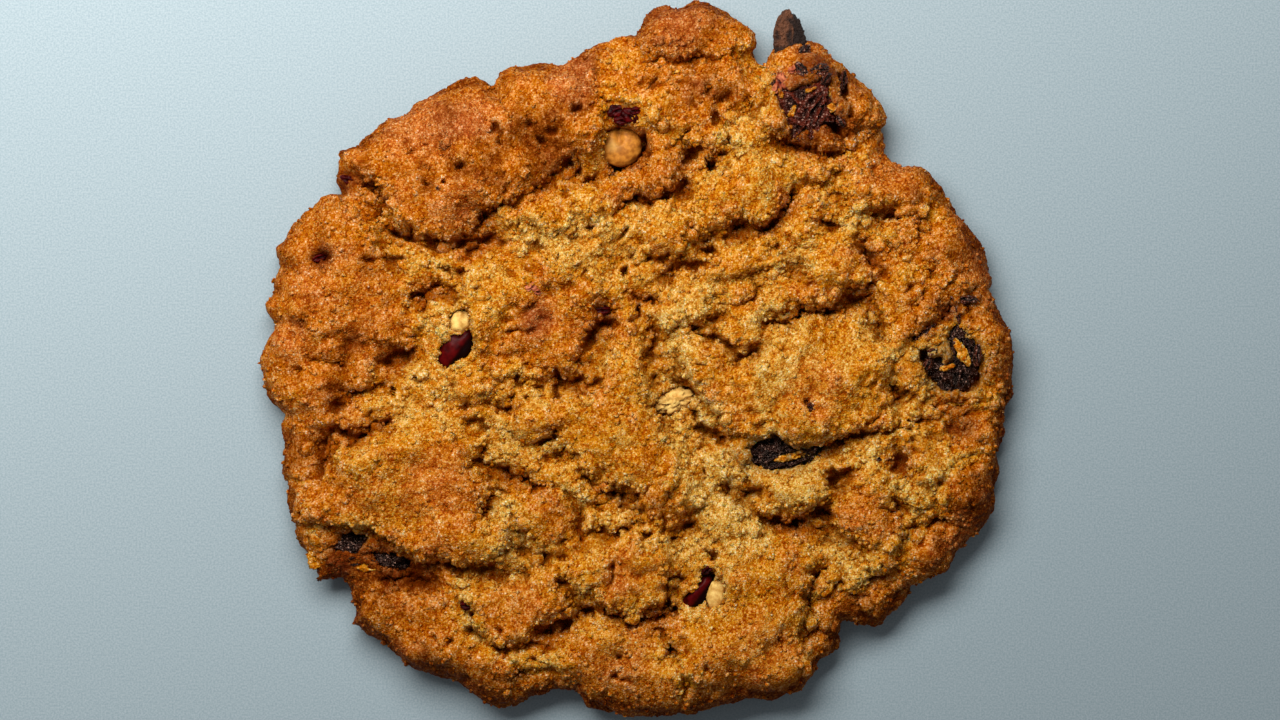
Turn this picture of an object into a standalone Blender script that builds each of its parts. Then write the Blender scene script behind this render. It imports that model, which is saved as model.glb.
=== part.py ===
"""An oatmeal raisin cookie of one hand-dropped ball of dough, baked flat on a tray.

The biscuit is a low cake with a flat base, a rounded edge and a crust that tore into plates while it
rose. Raisins, two bits of red fruit and a few nuts sit in pockets in it. Lengths are written in
millimetres and made metres where a mesh is built. +Z is up, +Y is away, and the origin is the middle
of the base.
"""

import math

import bmesh
import bpy
from mathutils import Matrix, Vector, noise

MM = 0.001

# The driving dimensions of the baked biscuit.
MIDDLE_THICKNESS = 9.6
SHOULDER_THICKNESS = 8.2
LIP_HEIGHT = 2.6
EDGE_ROUND = 6.4
EDGE_POWER = 2.4
BASE_TUCK = 1.5
POCKET_GAP = 0.35

# The squares along each side of the top's net, and the share of faces that the Decimate modifier keeps.
NET = 112
KEPT_SHARE = 0.2

# The rim's corners (across, up), round the biscuit from +X towards +Y, with smooth curves between them.
RIM = (
    (44.7, 0.0), (44.5, 3.0), (43.4, 5.8), (42.2, 10.0), (40.2, 14.4), (38.3, 18.0), (35.6, 21.4),
    (34.0, 23.2), (31.5, 23.2), (29.5, 25.0), (29.2, 27.6), (30.1, 28.7), (27.6, 32.2), (25.2, 34.3),
    (21.8, 37.7), (19.0, 38.6), (16.6, 38.0), (15.0, 35.9), (13.9, 37.0), (13.6, 39.5), (12.0, 41.0),
    (7.5, 42.6), (3.5, 42.4), (0.8, 41.2), (-0.4, 39.0), (-3.7, 38.2), (-8.0, 36.4), (-12.0, 35.2),
    (-16.5, 35.0), (-18.2, 32.6), (-19.7, 33.9), (-23.0, 32.6), (-28.5, 29.2), (-31.5, 27.8),
    (-34.0, 25.6), (-36.2, 25.0), (-37.2, 21.6), (-35.6, 19.9), (-38.4, 19.2), (-41.2, 16.8),
    (-43.9, 13.2), (-43.4, 11.0), (-45.2, 6.3), (-43.8, 4.5), (-45.2, 2.0), (-45.0, -4.5),
    (-43.0, -6.9), (-42.7, -14.5), (-41.3, -19.5), (-40.2, -25.0), (-38.3, -26.7), (-35.7, -26.0),
    (-34.2, -29.3), (-34.6, -31.7), (-31.0, -34.4), (-28.0, -37.2), (-22.0, -39.1), (-18.0, -42.0),
    (-14.0, -42.0), (-10.5, -40.1), (-7.6, -40.4), (-6.4, -42.2), (-1.0, -43.0), (7.0, -42.3),
    (13.0, -41.2), (18.5, -40.0), (21.0, -37.6), (24.3, -34.6), (24.6, -32.0), (29.2, -31.8),
    (33.0, -27.7), (37.5, -23.6), (39.8, -20.6), (42.4, -17.0), (42.6, -13.8), (41.7, -10.8),
    (44.2, -6.2), (45.2, -4.3),
)
RIM_TENSION = 0.35

# The crust's plates, each an oval with a steep ragged edge:
# middle across, middle up, half its length, half its width, turn in degrees, rise.
PLATES = (
    (-24.5, 27.0, 12.5, 4.0, 24.0, 2.0), (-11.0, 31.0, 6.5, 4.2, 12.0, 1.8),
    (-25.5, 19.2, 7.6, 4.4, 14.0, 2.2), (-17.0, 22.4, 6.4, 3.6, 24.0, 2.1),
    (-37.5, 11.5, 6.6, 7.6, 0.0, 1.7), (-33.5, 6.0, 8.0, 5.2, -12.0, 2.0),
    (-38.5, -1.4, 7.2, 4.6, -6.0, 1.8), (-30.0, 3.6, 5.2, 2.4, 12.0, 2.2),
    (-14.2, 8.4, 9.4, 3.8, 12.0, 2.2), (-12.6, 1.2, 7.4, 3.0, 14.0, 1.9),
    (-1.9, 0.0, 2.5, 4.4, 0.0, 1.9), (-2.0, -8.4, 4.2, 7.2, 10.0, 2.0),
    (-11.6, -7.0, 4.4, 2.6, 8.0, 1.9), (2.2, -12.4, 3.0, 3.6, 0.0, 1.7),
    (-27.0, -13.8, 10.0, 6.6, 14.0, 2.6), (-35.6, -16.8, 5.4, 3.4, 0.0, 1.6),
    (-22.5, -20.6, 6.6, 3.4, 10.0, 2.0), (-11.6, -18.6, 3.4, 3.6, 0.0, 1.7),
    (5.4, 30.4, 8.0, 4.6, 0.0, 1.3), (6.8, 39.0, 6.2, 3.0, -4.0, 1.6),
    (1.0, 22.4, 4.4, 3.0, 16.0, 2.2), (-7.0, 19.4, 5.6, 2.1, 20.0, 1.5),
    (21.0, 31.6, 6.2, 5.2, -40.0, 1.8), (27.0, 30.0, 3.6, 2.4, -50.0, 1.5),
    (11.4, 19.4, 7.0, 2.9, 14.0, 2.1), (12.6, 12.2, 6.2, 2.0, 12.0, 1.6),
    (27.6, 20.8, 9.0, 3.2, -4.0, 1.7), (36.4, 13.6, 5.2, 6.2, 40.0, 1.5),
    (22.6, 12.8, 5.0, 4.2, -10.0, 1.6), (19.6, 7.8, 6.2, 1.9, 4.0, 1.6),
    (6.6, 6.8, 5.8, 2.1, 10.0, 1.6), (18.6, -1.8, 10.4, 6.6, 0.0, 2.5),
    (8.6, 0.6, 5.0, 2.6, -38.0, 1.8), (36.8, 1.6, 6.6, 8.2, 8.0, 1.4),
    (28.8, -17.8, 5.6, 3.8, -34.0, 2.1), (38.0, -15.0, 3.8, 6.4, 10.0, 1.6),
    (34.0, -23.4, 4.4, 4.4, 40.0, 1.5), (17.6, -15.4, 3.6, 3.2, 0.0, 2.0),
    (13.6, -29.4, 6.2, 6.4, -20.0, 2.3), (-1.6, -25.4, 5.4, 5.0, 0.0, 2.2),
    (-17.6, -29.8, 8.2, 3.0, 4.0, 1.8), (-27.6, -32.0, 6.4, 3.4, -24.0, 1.5),
    (-2.0, -35.2, 6.6, 3.0, 0.0, 1.7), (8.6, -38.0, 9.4, 2.8, 4.0, 1.5),
    (-19.0, -37.2, 6.4, 2.4, -18.0, 1.2), (-2.6, -18.6, 3.0, 1.4, 10.0, 1.3),
)
# How wide a plate's edge is, how ragged its outline, how domed its top, and how far the dough between
# plates is sunk.
PLATE_EDGE = 1.5
PLATE_RAG = 0.22
PLATE_CROWN = 0.25
SUNK_BETWEEN = 1.0

# The soft lumps all over the dough: how far apart they are, and how high.
LUMPS = ((7.0, 0.45), (2.4, 0.3))

# The broad tears between plates: half width, depth, and the points that each runs through.
TEARS = (
    (1.0, 2.6, ((-30.0, 15.0), (-26.0, 14.2), (-22.0, 14.2), (-17.0, 18.2), (-12.0, 20.6), (-8.0, 23.0))),
    (0.8, 2.2, ((-6.0, 22.0), (-3.4, 22.0), (-0.8, 23.4), (0.4, 25.0))),
    (0.9, 2.4, ((-2.4, 18.8), (1.5, 19.0), (4.4, 20.2), (6.4, 23.0), (8.6, 23.3))),
    (1.0, 2.6, ((9.5, 14.8), (13.2, 15.6), (15.6, 15.4), (17.4, 17.2), (18.0, 19.8))),
    (1.0, 2.8, ((15.6, 4.2), (20.0, 5.5), (24.0, 5.8), (27.6, 6.4))),
    (0.9, 2.2, ((5.0, 4.2), (9.2, 3.2), (12.6, 0.4), (15.0, 1.4))),
    (1.4, 2.4, ((2.0, 8.0), (4.4, 11.2), (7.4, 11.2))),
    (1.5, 2.2, ((-2.6, 6.4), (-5.6, 3.0), (-7.6, -0.8), (-10.2, -2.8), (-10.2, -4.6))),
    (1.5, 2.0, ((0.6, 5.0), (2.2, 1.6), (2.4, -2.0), (6.0, -4.4), (7.0, -8.2), (10.0, -9.4))),
    (1.0, 2.4, ((21.6, -10.6), (25.0, -9.4), (28.6, -8.2))),
    (1.2, 2.8, ((15.2, -20.0), (19.6, -19.2), (21.4, -17.8), (23.0, -18.8))),
    (1.2, 2.4, ((3.6, -26.2), (3.6, -29.4), (0.2, -31.4), (-3.2, -30.6), (-6.4, -31.0), (-9.0, -28.2))),
    (1.1, 2.2, ((-16.5, -34.6), (-11.6, -34.9), (-9.6, -31.8))),
    (1.1, 2.4, ((-28.0, 7.4), (-26.0, 7.8), (-23.6, 8.8))),
    (1.3, 2.4, ((-31.2, -1.2), (-29.8, 0.6), (-28.2, 0.8))),
    (1.6, 2.2, ((-36.0, -4.6), (-31.0, -4.4), (-25.0, -5.0), (-18.0, -5.6), (-15.0, -4.6))),
    (1.2, 2.8, ((-36.6, -8.8), (-34.0, -9.0), (-31.0, -7.4), (-28.6, -6.0))),
    (1.6, 2.0, ((-37.6, -8.4), (-39.0, -11.0), (-39.8, -14.6))),
    (1.2, 2.4, ((-37.4, -25.4), (-31.5, -26.2), (-24.0, -26.0), (-18.0, -25.6), (-13.0, -24.0))),
    (1.4, 2.8, ((-14.6, -15.2), (-12.6, -15.4), (-10.6, -15.0), (-7.4, -18.0), (-7.4, -21.4))),
    (1.2, 2.6, ((-4.4, -16.8), (-2.5, -16.6), (-0.4, -16.2))),
    (1.1, 2.4, ((17.0, 25.4), (21.0, 24.9), (25.0, 25.2), (27.4, 27.2), (30.0, 28.2))),
    (1.0, 1.8, ((26.4, 15.0), (27.2, 13.0), (29.6, 10.6))),
    (1.2, 2.0, ((20.4, -30.0), (20.6, -27.0), (21.6, -24.8))),
    (1.3, 1.8, ((9.4, -12.6), (8.2, -17.0), (8.6, -22.6), (7.8, -25.4))),
)
# How far a tear strays from its line, and how far in from the rim it reaches its full depth.
TEAR_WANDER = 0.5
TEAR_FROM_RIM = 2.0

# The fruit and nuts: name, material, middle (across, up), how far the middle stands from the crust,
# half length, half width, half height and turn in degrees.
BITS = (
    ("raisin_top_right", "raisin", (20.2, 31.0), -1.3, 4.8, 3.9, 2.6, 62.0),
    ("raisin_right", "raisin", (38.0, 1.8), -1.4, 6.0, 3.7, 2.6, 82.0),
    ("raisin_centre", "raisin", (16.8, -11.2), -0.8, 4.7, 2.4, 2.0, 8.0),
    ("raisin_left", "raisin", (-32.6, -23.4), -0.9, 5.4, 2.4, 2.2, -8.0),
    ("raisin_rim", "raisin", (17.7, 38.3), 1.2, 4.0, 2.2, 1.8, 92.0),
    ("red_fruit_left", "red fruit", (-22.0, 1.2), -0.6, 2.3, 1.9, 1.6, 60.0),
    ("red_fruit_low", "red fruit", (6.9, -28.1), -0.6, 2.1, 1.5, 1.4, 55.0),
    ("nut_round", "nut", (-2.4, 25.9), -0.5, 2.5, 2.4, 2.1, 0.0),
    ("nut_left", "nut", (-21.5, 5.1), -0.3, 1.2, 1.0, 1.1, 70.0),
    ("nut_low", "nut", (9.3, -28.2), -0.3, 1.7, 1.0, 1.2, 80.0),
    ("nut_chip", "nut", (4.2, -4.8), -0.1, 2.2, 1.3, 0.9, 18.0),
)
WRINKLES = {"raisin": 0.14, "red fruit": 0.06, "nut": 0.04}

# The dough dips round each bit, from the edge of the dip to its floor, in parts of the bit's half size.
DIP_EDGE = 1.05
DIP_FLOOR = 0.45

# Colour, roughness and metallic value of each baked material.
FINISHES = {
    "baked dough": ((0.36, 0.150, 0.030), 0.75, 0.0),
    "raisin": ((0.030, 0.012, 0.008), 0.35, 0.0),
    "red fruit": ((0.090, 0.006, 0.005), 0.30, 0.0),
    "nut": ((0.52, 0.30, 0.10), 0.55, 0.0),
}


def clear_scene():
    for thing in list(bpy.data.objects):
        bpy.data.objects.remove(thing)


def baked_material(name):
    """The Principled material of that name, made the first time it is asked for."""
    known = bpy.data.materials.get(name)
    if known:
        return known
    colour, roughness, metallic = FINISHES[name]
    made = bpy.data.materials.new(name)
    made.use_nodes = True
    shader = made.node_tree.nodes["Principled BSDF"]
    shader.inputs["Base Color"].default_value = (*colour, 1.0)
    shader.inputs["Roughness"].default_value = roughness
    shader.inputs["Metallic"].default_value = metallic
    made.diffuse_color = (*colour, 1.0)
    return made


def object_from(mesh_work, name, material_name):
    """The finished bmesh as a named object in the scene, with its material."""
    mesh = bpy.data.meshes.new(name)
    mesh_work.to_mesh(mesh)
    mesh_work.free()
    mesh.materials.append(baked_material(material_name))
    mesh.shade_smooth()
    mesh.set_sharp_from_angle(angle=math.radians(50))
    made = bpy.data.objects.new(name, mesh)
    bpy.context.scene.collection.objects.link(made)
    return made


def smooth_step(value):
    held = min(1.0, max(0.0, value))
    return held * held * (3.0 - 2.0 * held)


# The rim's corners as (bearing, reach), in order of bearing from 0 to a full turn.
CORNERS = sorted((math.atan2(y, x) % math.tau, math.hypot(x, y)) for x, y in RIM)


def rim_reach(bearing):
    """How far the rim is from the middle at this bearing, by a cubic through four corners."""
    count = len(CORNERS)
    after = next((i for i, (b, _) in enumerate(CORNERS) if b > bearing), 0)
    before = after - 1
    low, high = CORNERS[before], CORNERS[after]
    span = (high[0] - low[0]) % math.tau
    share = ((bearing - low[0]) % math.tau) / span
    r0, r1, r2, r3 = (CORNERS[(before + k) % count][1] for k in (-1, 0, 1, 2))
    slope_low, slope_high = RIM_TENSION * (r2 - r0), RIM_TENSION * (r3 - r1)
    s2, s3 = share * share, share**3
    return (
        (2 * s3 - 3 * s2 + 1) * r1
        + (s3 - 2 * s2 + share) * slope_low
        + (3 * s2 - 2 * s3) * r2
        + (s3 - s2) * slope_high
    )


def plate_rise(x, y):
    """How far the crust's plates lift the top here. Where two overlap, the higher one counts."""
    rag = PLATE_RAG * noise.noise(Vector((x, y, 4.0)) / 2.6)
    highest = 0.0
    for across, up, long_half, wide_half, turn, rise in PLATES:
        dx, dy = x - across, y - up
        if abs(dx) > 14.0 or abs(dy) > 14.0:
            continue
        c, s = math.cos(math.radians(turn)), math.sin(math.radians(turn))
        along, aside = dx * c + dy * s, dy * c - dx * s
        from_middle = math.hypot(along / long_half, aside / wide_half) + rag
        inside = (1.0 - from_middle) * wide_half / PLATE_EDGE + 0.5
        crown = 1.0 + PLATE_CROWN * max(0.0, 1.0 - from_middle**2)
        highest = max(highest, rise * crown * smooth_step(inside))
    return highest


def distance_to_run(x, y, run):
    """Distance from a point to the broken line through run's points."""
    nearest = math.inf
    for (ax, ay), (bx, by) in zip(run, run[1:]):
        ex, ey = bx - ax, by - ay
        share = ((x - ax) * ex + (y - ay) * ey) / (ex * ex + ey * ey)
        share = min(1.0, max(0.0, share))
        nearest = min(nearest, math.hypot(x - ax - share * ex, y - ay - share * ey))
    return nearest


def tear_depth(x, y):
    """How far the broad tears sink the top here."""
    wander = Vector((x, y, 9.0)) / 3.0
    wx = x + TEAR_WANDER * noise.noise(wander)
    wy = y + TEAR_WANDER * noise.noise(wander + Vector((0.0, 0.0, 7.0)))
    deepest = 0.0
    for half_width, depth, run in TEARS:
        xs, ys = [p[0] for p in run], [p[1] for p in run]
        if not (min(xs) - 3 < x < max(xs) + 3 and min(ys) - 3 < y < max(ys) + 3):
            continue
        share = distance_to_run(wx, wy, run) / (2.0 * half_width)
        deepest = max(deepest, depth * (1.0 - smooth_step(share)))
    return deepest


def dip_depth(x, y):
    """How far the dough dips round the fruit and nuts, so that their tops are bare."""
    deepest = 0.0
    for _, _, (across, up), _, long_half, wide_half, high_half, turn in BITS:
        dx, dy = x - across, y - up
        c, s = math.cos(math.radians(turn)), math.sin(math.radians(turn))
        from_middle = math.hypot((dx * c + dy * s) / long_half, (dy * c - dx * s) / wide_half)
        share = (from_middle - DIP_FLOOR) / (DIP_EDGE - DIP_FLOOR)
        deepest = max(deepest, high_half * (1.0 - smooth_step(share)))
    return deepest


def crust_height(x, y):
    """Height of the baked crust above the base, in millimetres, without the dips round the bits."""
    reach = rim_reach(math.atan2(y, x) % math.tau)
    share = min(1.0, math.hypot(x, y) / reach)
    cake = SHOULDER_THICKNESS + (MIDDLE_THICKNESS - SHOULDER_THICKNESS) * (1.0 - share**2)
    from_rim = (1.0 - share) * reach
    fall = 1.0 - min(1.0, from_rim / EDGE_ROUND)
    edge = math.sqrt(max(0.0, 1.0 - fall**EDGE_POWER))
    lumps = sum(high * noise.noise(Vector((x, y, apart)) / apart) for apart, high in LUMPS)
    sunk = SUNK_BETWEEN + tear_depth(x, y) * min(1.0, from_rim / TEAR_FROM_RIM)
    worked = cake + plate_rise(x, y) + lumps - sunk
    return LIP_HEIGHT + (worked - LIP_HEIGHT) * edge


def top_height(x, y):
    """Height of the whole baked top above the base, in millimetres."""
    return max(LIP_HEIGHT, crust_height(x, y) - dip_depth(x, y))


def disc_point(row, column):
    """Where a square net's crossing lies on a disc of radius 1, by rings of squares drawn out to circles."""
    across, up = 2.0 * column / NET - 1.0, 2.0 * row / NET - 1.0
    if abs(across) < 1e-9 and abs(up) < 1e-9:
        return 0.0, 0.0
    if abs(across) >= abs(up):
        return across, (math.pi / 4) * up / across
    return up, math.pi / 2 - (math.pi / 4) * across / up


def outline_point(row, column, inset):
    """A net crossing in the biscuit's own outline, in millimetres, drawn in by inset along its bearing."""
    share, bearing = disc_point(row, column)
    if share < 0.0:
        share, bearing = -share, bearing + math.pi
    reach = rim_reach(bearing % math.tau) * share - inset
    return reach * math.cos(bearing), reach * math.sin(bearing)


def net_edge():
    """The crossings along the net's four sides, in order, as (row, column)."""
    steps = range(NET)
    yield from ((0, k) for k in steps)
    yield from ((k, NET) for k in steps)
    yield from ((NET, NET - k) for k in steps)
    yield from ((NET - k, 0) for k in steps)


def edge_loop(mesh_work, inset, height):
    """One level loop of vertices round the biscuit's edge."""
    places = [outline_point(row, column, inset) for row, column in net_edge()]
    return [mesh_work.verts.new((x * MM, y * MM, height * MM)) for x, y in places]


def biscuit():
    """The baked dough: a flat base, an edge that rounds out and up, and a torn top on a square net."""
    work = bmesh.new()
    top = {}
    for row in range(NET + 1):
        for column in range(NET + 1):
            x, y = outline_point(row, column, 0.0)
            top[row, column] = work.verts.new((x * MM, y * MM, top_height(x, y) * MM))
    for row in range(NET):
        for column in range(NET):
            corners = ((row, column), (row, column + 1), (row + 1, column + 1), (row + 1, column))
            work.faces.new([top[corner] for corner in corners])
    loops = [[top[corner] for corner in net_edge()]]
    loops.append(edge_loop(work, 0.45, 0.35 * LIP_HEIGHT))
    loops.append(edge_loop(work, BASE_TUCK, 0.0))
    for upper, lower in zip(loops, loops[1:]):
        for k, after in zip(range(len(upper)), [*range(1, len(upper)), 0]):
            work.faces.new((upper[after], upper[k], lower[k], lower[after]))
    work.faces.new(loops[-1][::-1])
    bmesh.ops.triangulate(work, faces=work.faces[:])
    return object_from(work, "biscuit", "baked dough")


def buried_bit(row, name, grow):
    """A squashed ball with soft wrinkles where the row says, grown all round when it is a cutter."""
    _, material_name, (x, y), stand, *halves, turn = row
    work = bmesh.new()
    bmesh.ops.create_icosphere(work, subdivisions=3 if material_name == "raisin" else 2, radius=1.0)
    for vert in work.verts:
        way = vert.co.normalized()
        folds = noise.noise(way * 2.3 + Vector((x, y, 0.0))) * WRINKLES[material_name] * 2.0
        vert.co = Vector([way[k] * (halves[k] * (1.0 + folds) + grow) * MM for k in range(3)])
    middle = Vector((x, y, crust_height(x, y) + stand)) * MM
    spin = Matrix.Rotation(math.radians(turn), 4, "Z")
    bmesh.ops.transform(work, matrix=Matrix.Translation(middle) @ spin, verts=work.verts[:])
    return object_from(work, name, material_name)


def bury(cake, row):
    """Makes one bit, and cuts a pocket for it in the biscuit that is a gap wider all round."""
    name = row[0]
    buried_bit(row, name, 0.0)
    cutter = buried_bit(row, name + "_pocket", POCKET_GAP)
    cutter.hide_render = True
    cutter.display_type = "WIRE"
    pocket = cake.modifiers.new(name + " pocket", "BOOLEAN")
    pocket.operation = "DIFFERENCE"
    pocket.solver = "EXACT"
    pocket.object = cutter


def centre_on_origin(pieces):
    """Slides everything so that the middle of the box round what is baked stands over the origin."""
    corners = [v.co for piece in pieces if not piece.hide_render for v in piece.data.vertices]
    middle_x = (min(c.x for c in corners) + max(c.x for c in corners)) / 2
    middle_y = (min(c.y for c in corners) + max(c.y for c in corners)) / 2
    for piece in pieces:
        piece.data.transform(Matrix.Translation((-middle_x, -middle_y, 0.0)))


def main():
    clear_scene()
    cake = biscuit()
    thinned = cake.modifiers.new("fewer faces", "DECIMATE")
    thinned.ratio = KEPT_SHARE
    for row in BITS:
        bury(cake, row)
    centre_on_origin(list(bpy.context.scene.collection.objects))


main()
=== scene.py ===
import bpy
import math
import numpy as np
from mathutils import Matrix, Vector


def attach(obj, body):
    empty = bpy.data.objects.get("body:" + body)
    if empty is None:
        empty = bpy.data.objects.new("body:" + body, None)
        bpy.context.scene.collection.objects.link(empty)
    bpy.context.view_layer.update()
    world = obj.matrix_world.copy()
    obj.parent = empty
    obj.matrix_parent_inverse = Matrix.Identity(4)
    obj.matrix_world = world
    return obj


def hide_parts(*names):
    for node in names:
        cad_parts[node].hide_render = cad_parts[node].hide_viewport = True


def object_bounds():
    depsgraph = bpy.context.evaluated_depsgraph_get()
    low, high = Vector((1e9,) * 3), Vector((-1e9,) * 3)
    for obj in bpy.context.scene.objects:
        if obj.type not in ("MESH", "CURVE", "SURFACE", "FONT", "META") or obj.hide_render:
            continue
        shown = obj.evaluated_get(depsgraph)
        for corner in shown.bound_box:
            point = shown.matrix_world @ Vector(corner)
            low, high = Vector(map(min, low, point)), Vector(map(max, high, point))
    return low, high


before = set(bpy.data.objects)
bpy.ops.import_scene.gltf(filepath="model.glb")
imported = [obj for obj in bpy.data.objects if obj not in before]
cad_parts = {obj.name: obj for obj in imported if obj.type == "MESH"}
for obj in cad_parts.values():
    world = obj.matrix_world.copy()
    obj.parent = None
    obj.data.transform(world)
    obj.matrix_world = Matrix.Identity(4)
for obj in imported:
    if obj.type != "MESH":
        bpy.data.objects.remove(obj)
cad_low, cad_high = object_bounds()

# The table, the light and the camera.
# The cookie lies on a plain pale blue-grey table, lit by one broad soft lamp up and to the left and
# by a dim room, and it is looked at from straight above.
MM = 0.001
VIEW_ACROSS = 153.6 * MM
CAMERA_HEIGHT = 0.60
COOKIE_TOP = 6.0 * MM
SENSOR_WIDTH = 36.0
TABLE_WIDTH = 3.0
TABLE_GREYS = ((132, 151, 159), (156, 171, 178))
ROOM_COLOUR = (0.97, 0.97, 1.0, 1.0)
ROOM_BRIGHTNESS = 0.17
LAMP_PLACE = (-0.10, 0.22, 0.30)
LAMP_TILT = (0.18, -0.42, 1.0)
LAMP_WIDTH = 0.38
LAMP_POWER = 3.9
LAMP_COLOUR = (1.0, 0.98, 0.95)


def linear(red, green, blue):
    """A colour picked on a screen, from 0 to 255, as the light that a shader works in."""
    shares = (red / 255.0, green / 255.0, blue / 255.0)
    return tuple(s / 12.92 if s <= 0.04045 else ((s + 0.055) / 1.055) ** 2.4 for s in shares)


class Wire:
    """One socket in a material, with arithmetic that adds the Math nodes it needs."""

    def __init__(self, tree, socket):
        self.tree = tree
        self.socket = socket

    def node(self, kind, settings, sockets, out=0):
        """Adds a node, sets it up, feeds its sockets with values or wires, and gives one output."""
        made = self.tree.nodes.new("ShaderNode" + kind)
        for name, value in settings.items():
            if name == "stops":
                ramp = made.color_ramp.elements
                ramp[0].color, ramp[1].color = (*value[0][1], 1.0), (*value[-1][1], 1.0)
                for place, colour in value[1:-1]:
                    ramp.new(place).color = (*colour, 1.0)
            else:
                setattr(made, name, value)
        for name, value in sockets.items():
            if isinstance(value, Wire):
                self.tree.links.new(value.socket, made.inputs[name])
            else:
                made.inputs[name].default_value = value
        return Wire(self.tree, made.outputs[out])

    def math(self, operation, *values):
        """Adds one Math node that works on this wire and on the other values."""
        return self.node("Math", {"operation": operation}, dict(enumerate((self, *values))))

    def __add__(self, other):
        return self.math("ADD", other)

    def __sub__(self, other):
        return self.math("SUBTRACT", other)

    def __mul__(self, other):
        return self.math("MULTIPLY", other)

    def __rsub__(self, other):
        return self.math("MULTIPLY", -1.0).math("ADD", other)

    __radd__ = __add__
    __rmul__ = __mul__

    def between(self, low, high):
        """0 below low, 1 above high and a smooth step between them."""
        settings = {"interpolation_type": "SMOOTHSTEP"}
        return self.node("MapRange", settings, {"Value": self, "From Min": low, "From Max": high})

    def ramp(self, stops, colours):
        """A colour for each value: a colour picked on a screen at each of the stops, which go from 0 to 1."""
        stops = tuple((stop, linear(*colour)) for stop, colour in zip(stops, colours))
        return self.node("ValToRGB", {"stops": stops}, {"Fac": self})

    def mix(self, first, second):
        """The first colour where this wire is 0, the second where it is 1."""
        ends = [(*c, 1.0) if isinstance(c, tuple) else c for c in (first, second)]
        return self.node("Mix", {"data_type": "RGBA"}, {0: self, 6: ends[0], 7: ends[1]}, 2)

    def shade(self, colours):
        """The first of two colours picked on a screen where this wire is 0, the second where it is 1."""
        return self.mix(*(linear(*colour) for colour in colours))


def new_material(name):
    """A Principled material, its shader, and a wire with the object's own coordinates in millimetres."""
    made = bpy.data.materials.new(name)
    made.use_nodes = True
    tree = made.node_tree
    shader = tree.nodes["Principled BSDF"]
    coordinates = Wire(tree, tree.nodes.new("ShaderNodeTexCoord").outputs["Object"])
    scaled = coordinates.node("VectorMath", {"operation": "SCALE"}, {0: coordinates, 3: 1.0 / MM})
    return made, shader, scaled


def feed(shader, **sockets):
    """Sets the shader's sockets, given with _ for a space, to values or wires."""
    for name, value in sockets.items():
        socket = shader.inputs[name.replace("_", " ")]
        if isinstance(value, Wire):
            value.tree.links.new(value.socket, socket)
        else:
            socket.default_value = value


def grain(places, apart, detail=2.0):
    """A noise from about 0 to 1 whose spots are `apart` millimetres from each other."""
    return places.node("TexNoise", {}, {"Vector": places, "Scale": 1.0 / apart, "Detail": detail})


bpy.ops.object.select_all(action="DESELECT")
bpy.ops.mesh.primitive_plane_add(size=TABLE_WIDTH, location=(0.0, 0.0, cad_low.z))
table = bpy.context.object
table.name = "table_top"
table_material, shader, places = new_material("pale table")
flecks = grain(places, 0.22, 3.0)
feed(shader, Base_Color=flecks.between(0.25, 0.75).shade(TABLE_GREYS), Roughness=0.62)
table.data.materials.append(table_material)

world = bpy.data.worlds.new("dim room")
bpy.context.scene.world = world
world.use_nodes = True
room = world.node_tree.nodes["Background"].inputs
room["Color"].default_value = ROOM_COLOUR
room["Strength"].default_value = ROOM_BRIGHTNESS

bpy.ops.object.light_add(type="AREA", location=LAMP_PLACE)
lamp = bpy.context.object
lamp.data.shape = "DISK"
lamp.data.size = LAMP_WIDTH
lamp.data.energy = LAMP_POWER
lamp.data.color = LAMP_COLOUR
lamp.rotation_euler = Vector(LAMP_TILT).to_track_quat("Z", "Y").to_euler()

bpy.ops.object.camera_add(location=(0.0, 0.0, CAMERA_HEIGHT + COOKIE_TOP))
camera = bpy.context.object
camera.data.sensor_width = SENSOR_WIDTH
camera.data.lens = SENSOR_WIDTH * CAMERA_HEIGHT / VIEW_ACROSS
camera.data.clip_start = 0.01
bpy.context.scene.camera = camera
bpy.context.scene.view_settings.view_transform = "Standard"

# The biscuit.
# The real one is a ball of oat dough that slumped flat on a tray and set. Its skin browned first and
# then tore into plates as the middle rose, so paler crumb shows between the plates.

# The plain cake in millimetres: where its outline is taken, its lip, middle and shoulder, the roundness
# of its edge and how far its base draws in.
OUTLINE_HEIGHT = 2.1
LIP_HEIGHT = 2.6
MIDDLE_HEIGHT = 9.3
SHOULDER_HEIGHT = 8.0
EDGE_ROUND = 6.0
UNDERCUT = 1.4

# The squares across the net, the share of them on the top, and the wall's share of those past the top.
NET = 304
TOP_SHARE = 0.775
WALL_SHARE = 0.74
TINY = 1e-9

# How strongly the plates stand out, how far the skin lies below the plain cake, how far it drops under
# bare fruit, and how brown the crumb between the plates is.
PLATE_STRENGTH = 1.45
SKIN_DROP = 1.7
BARE_DROP = 2.8
CRUMB_BAKE = 0.25

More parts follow.
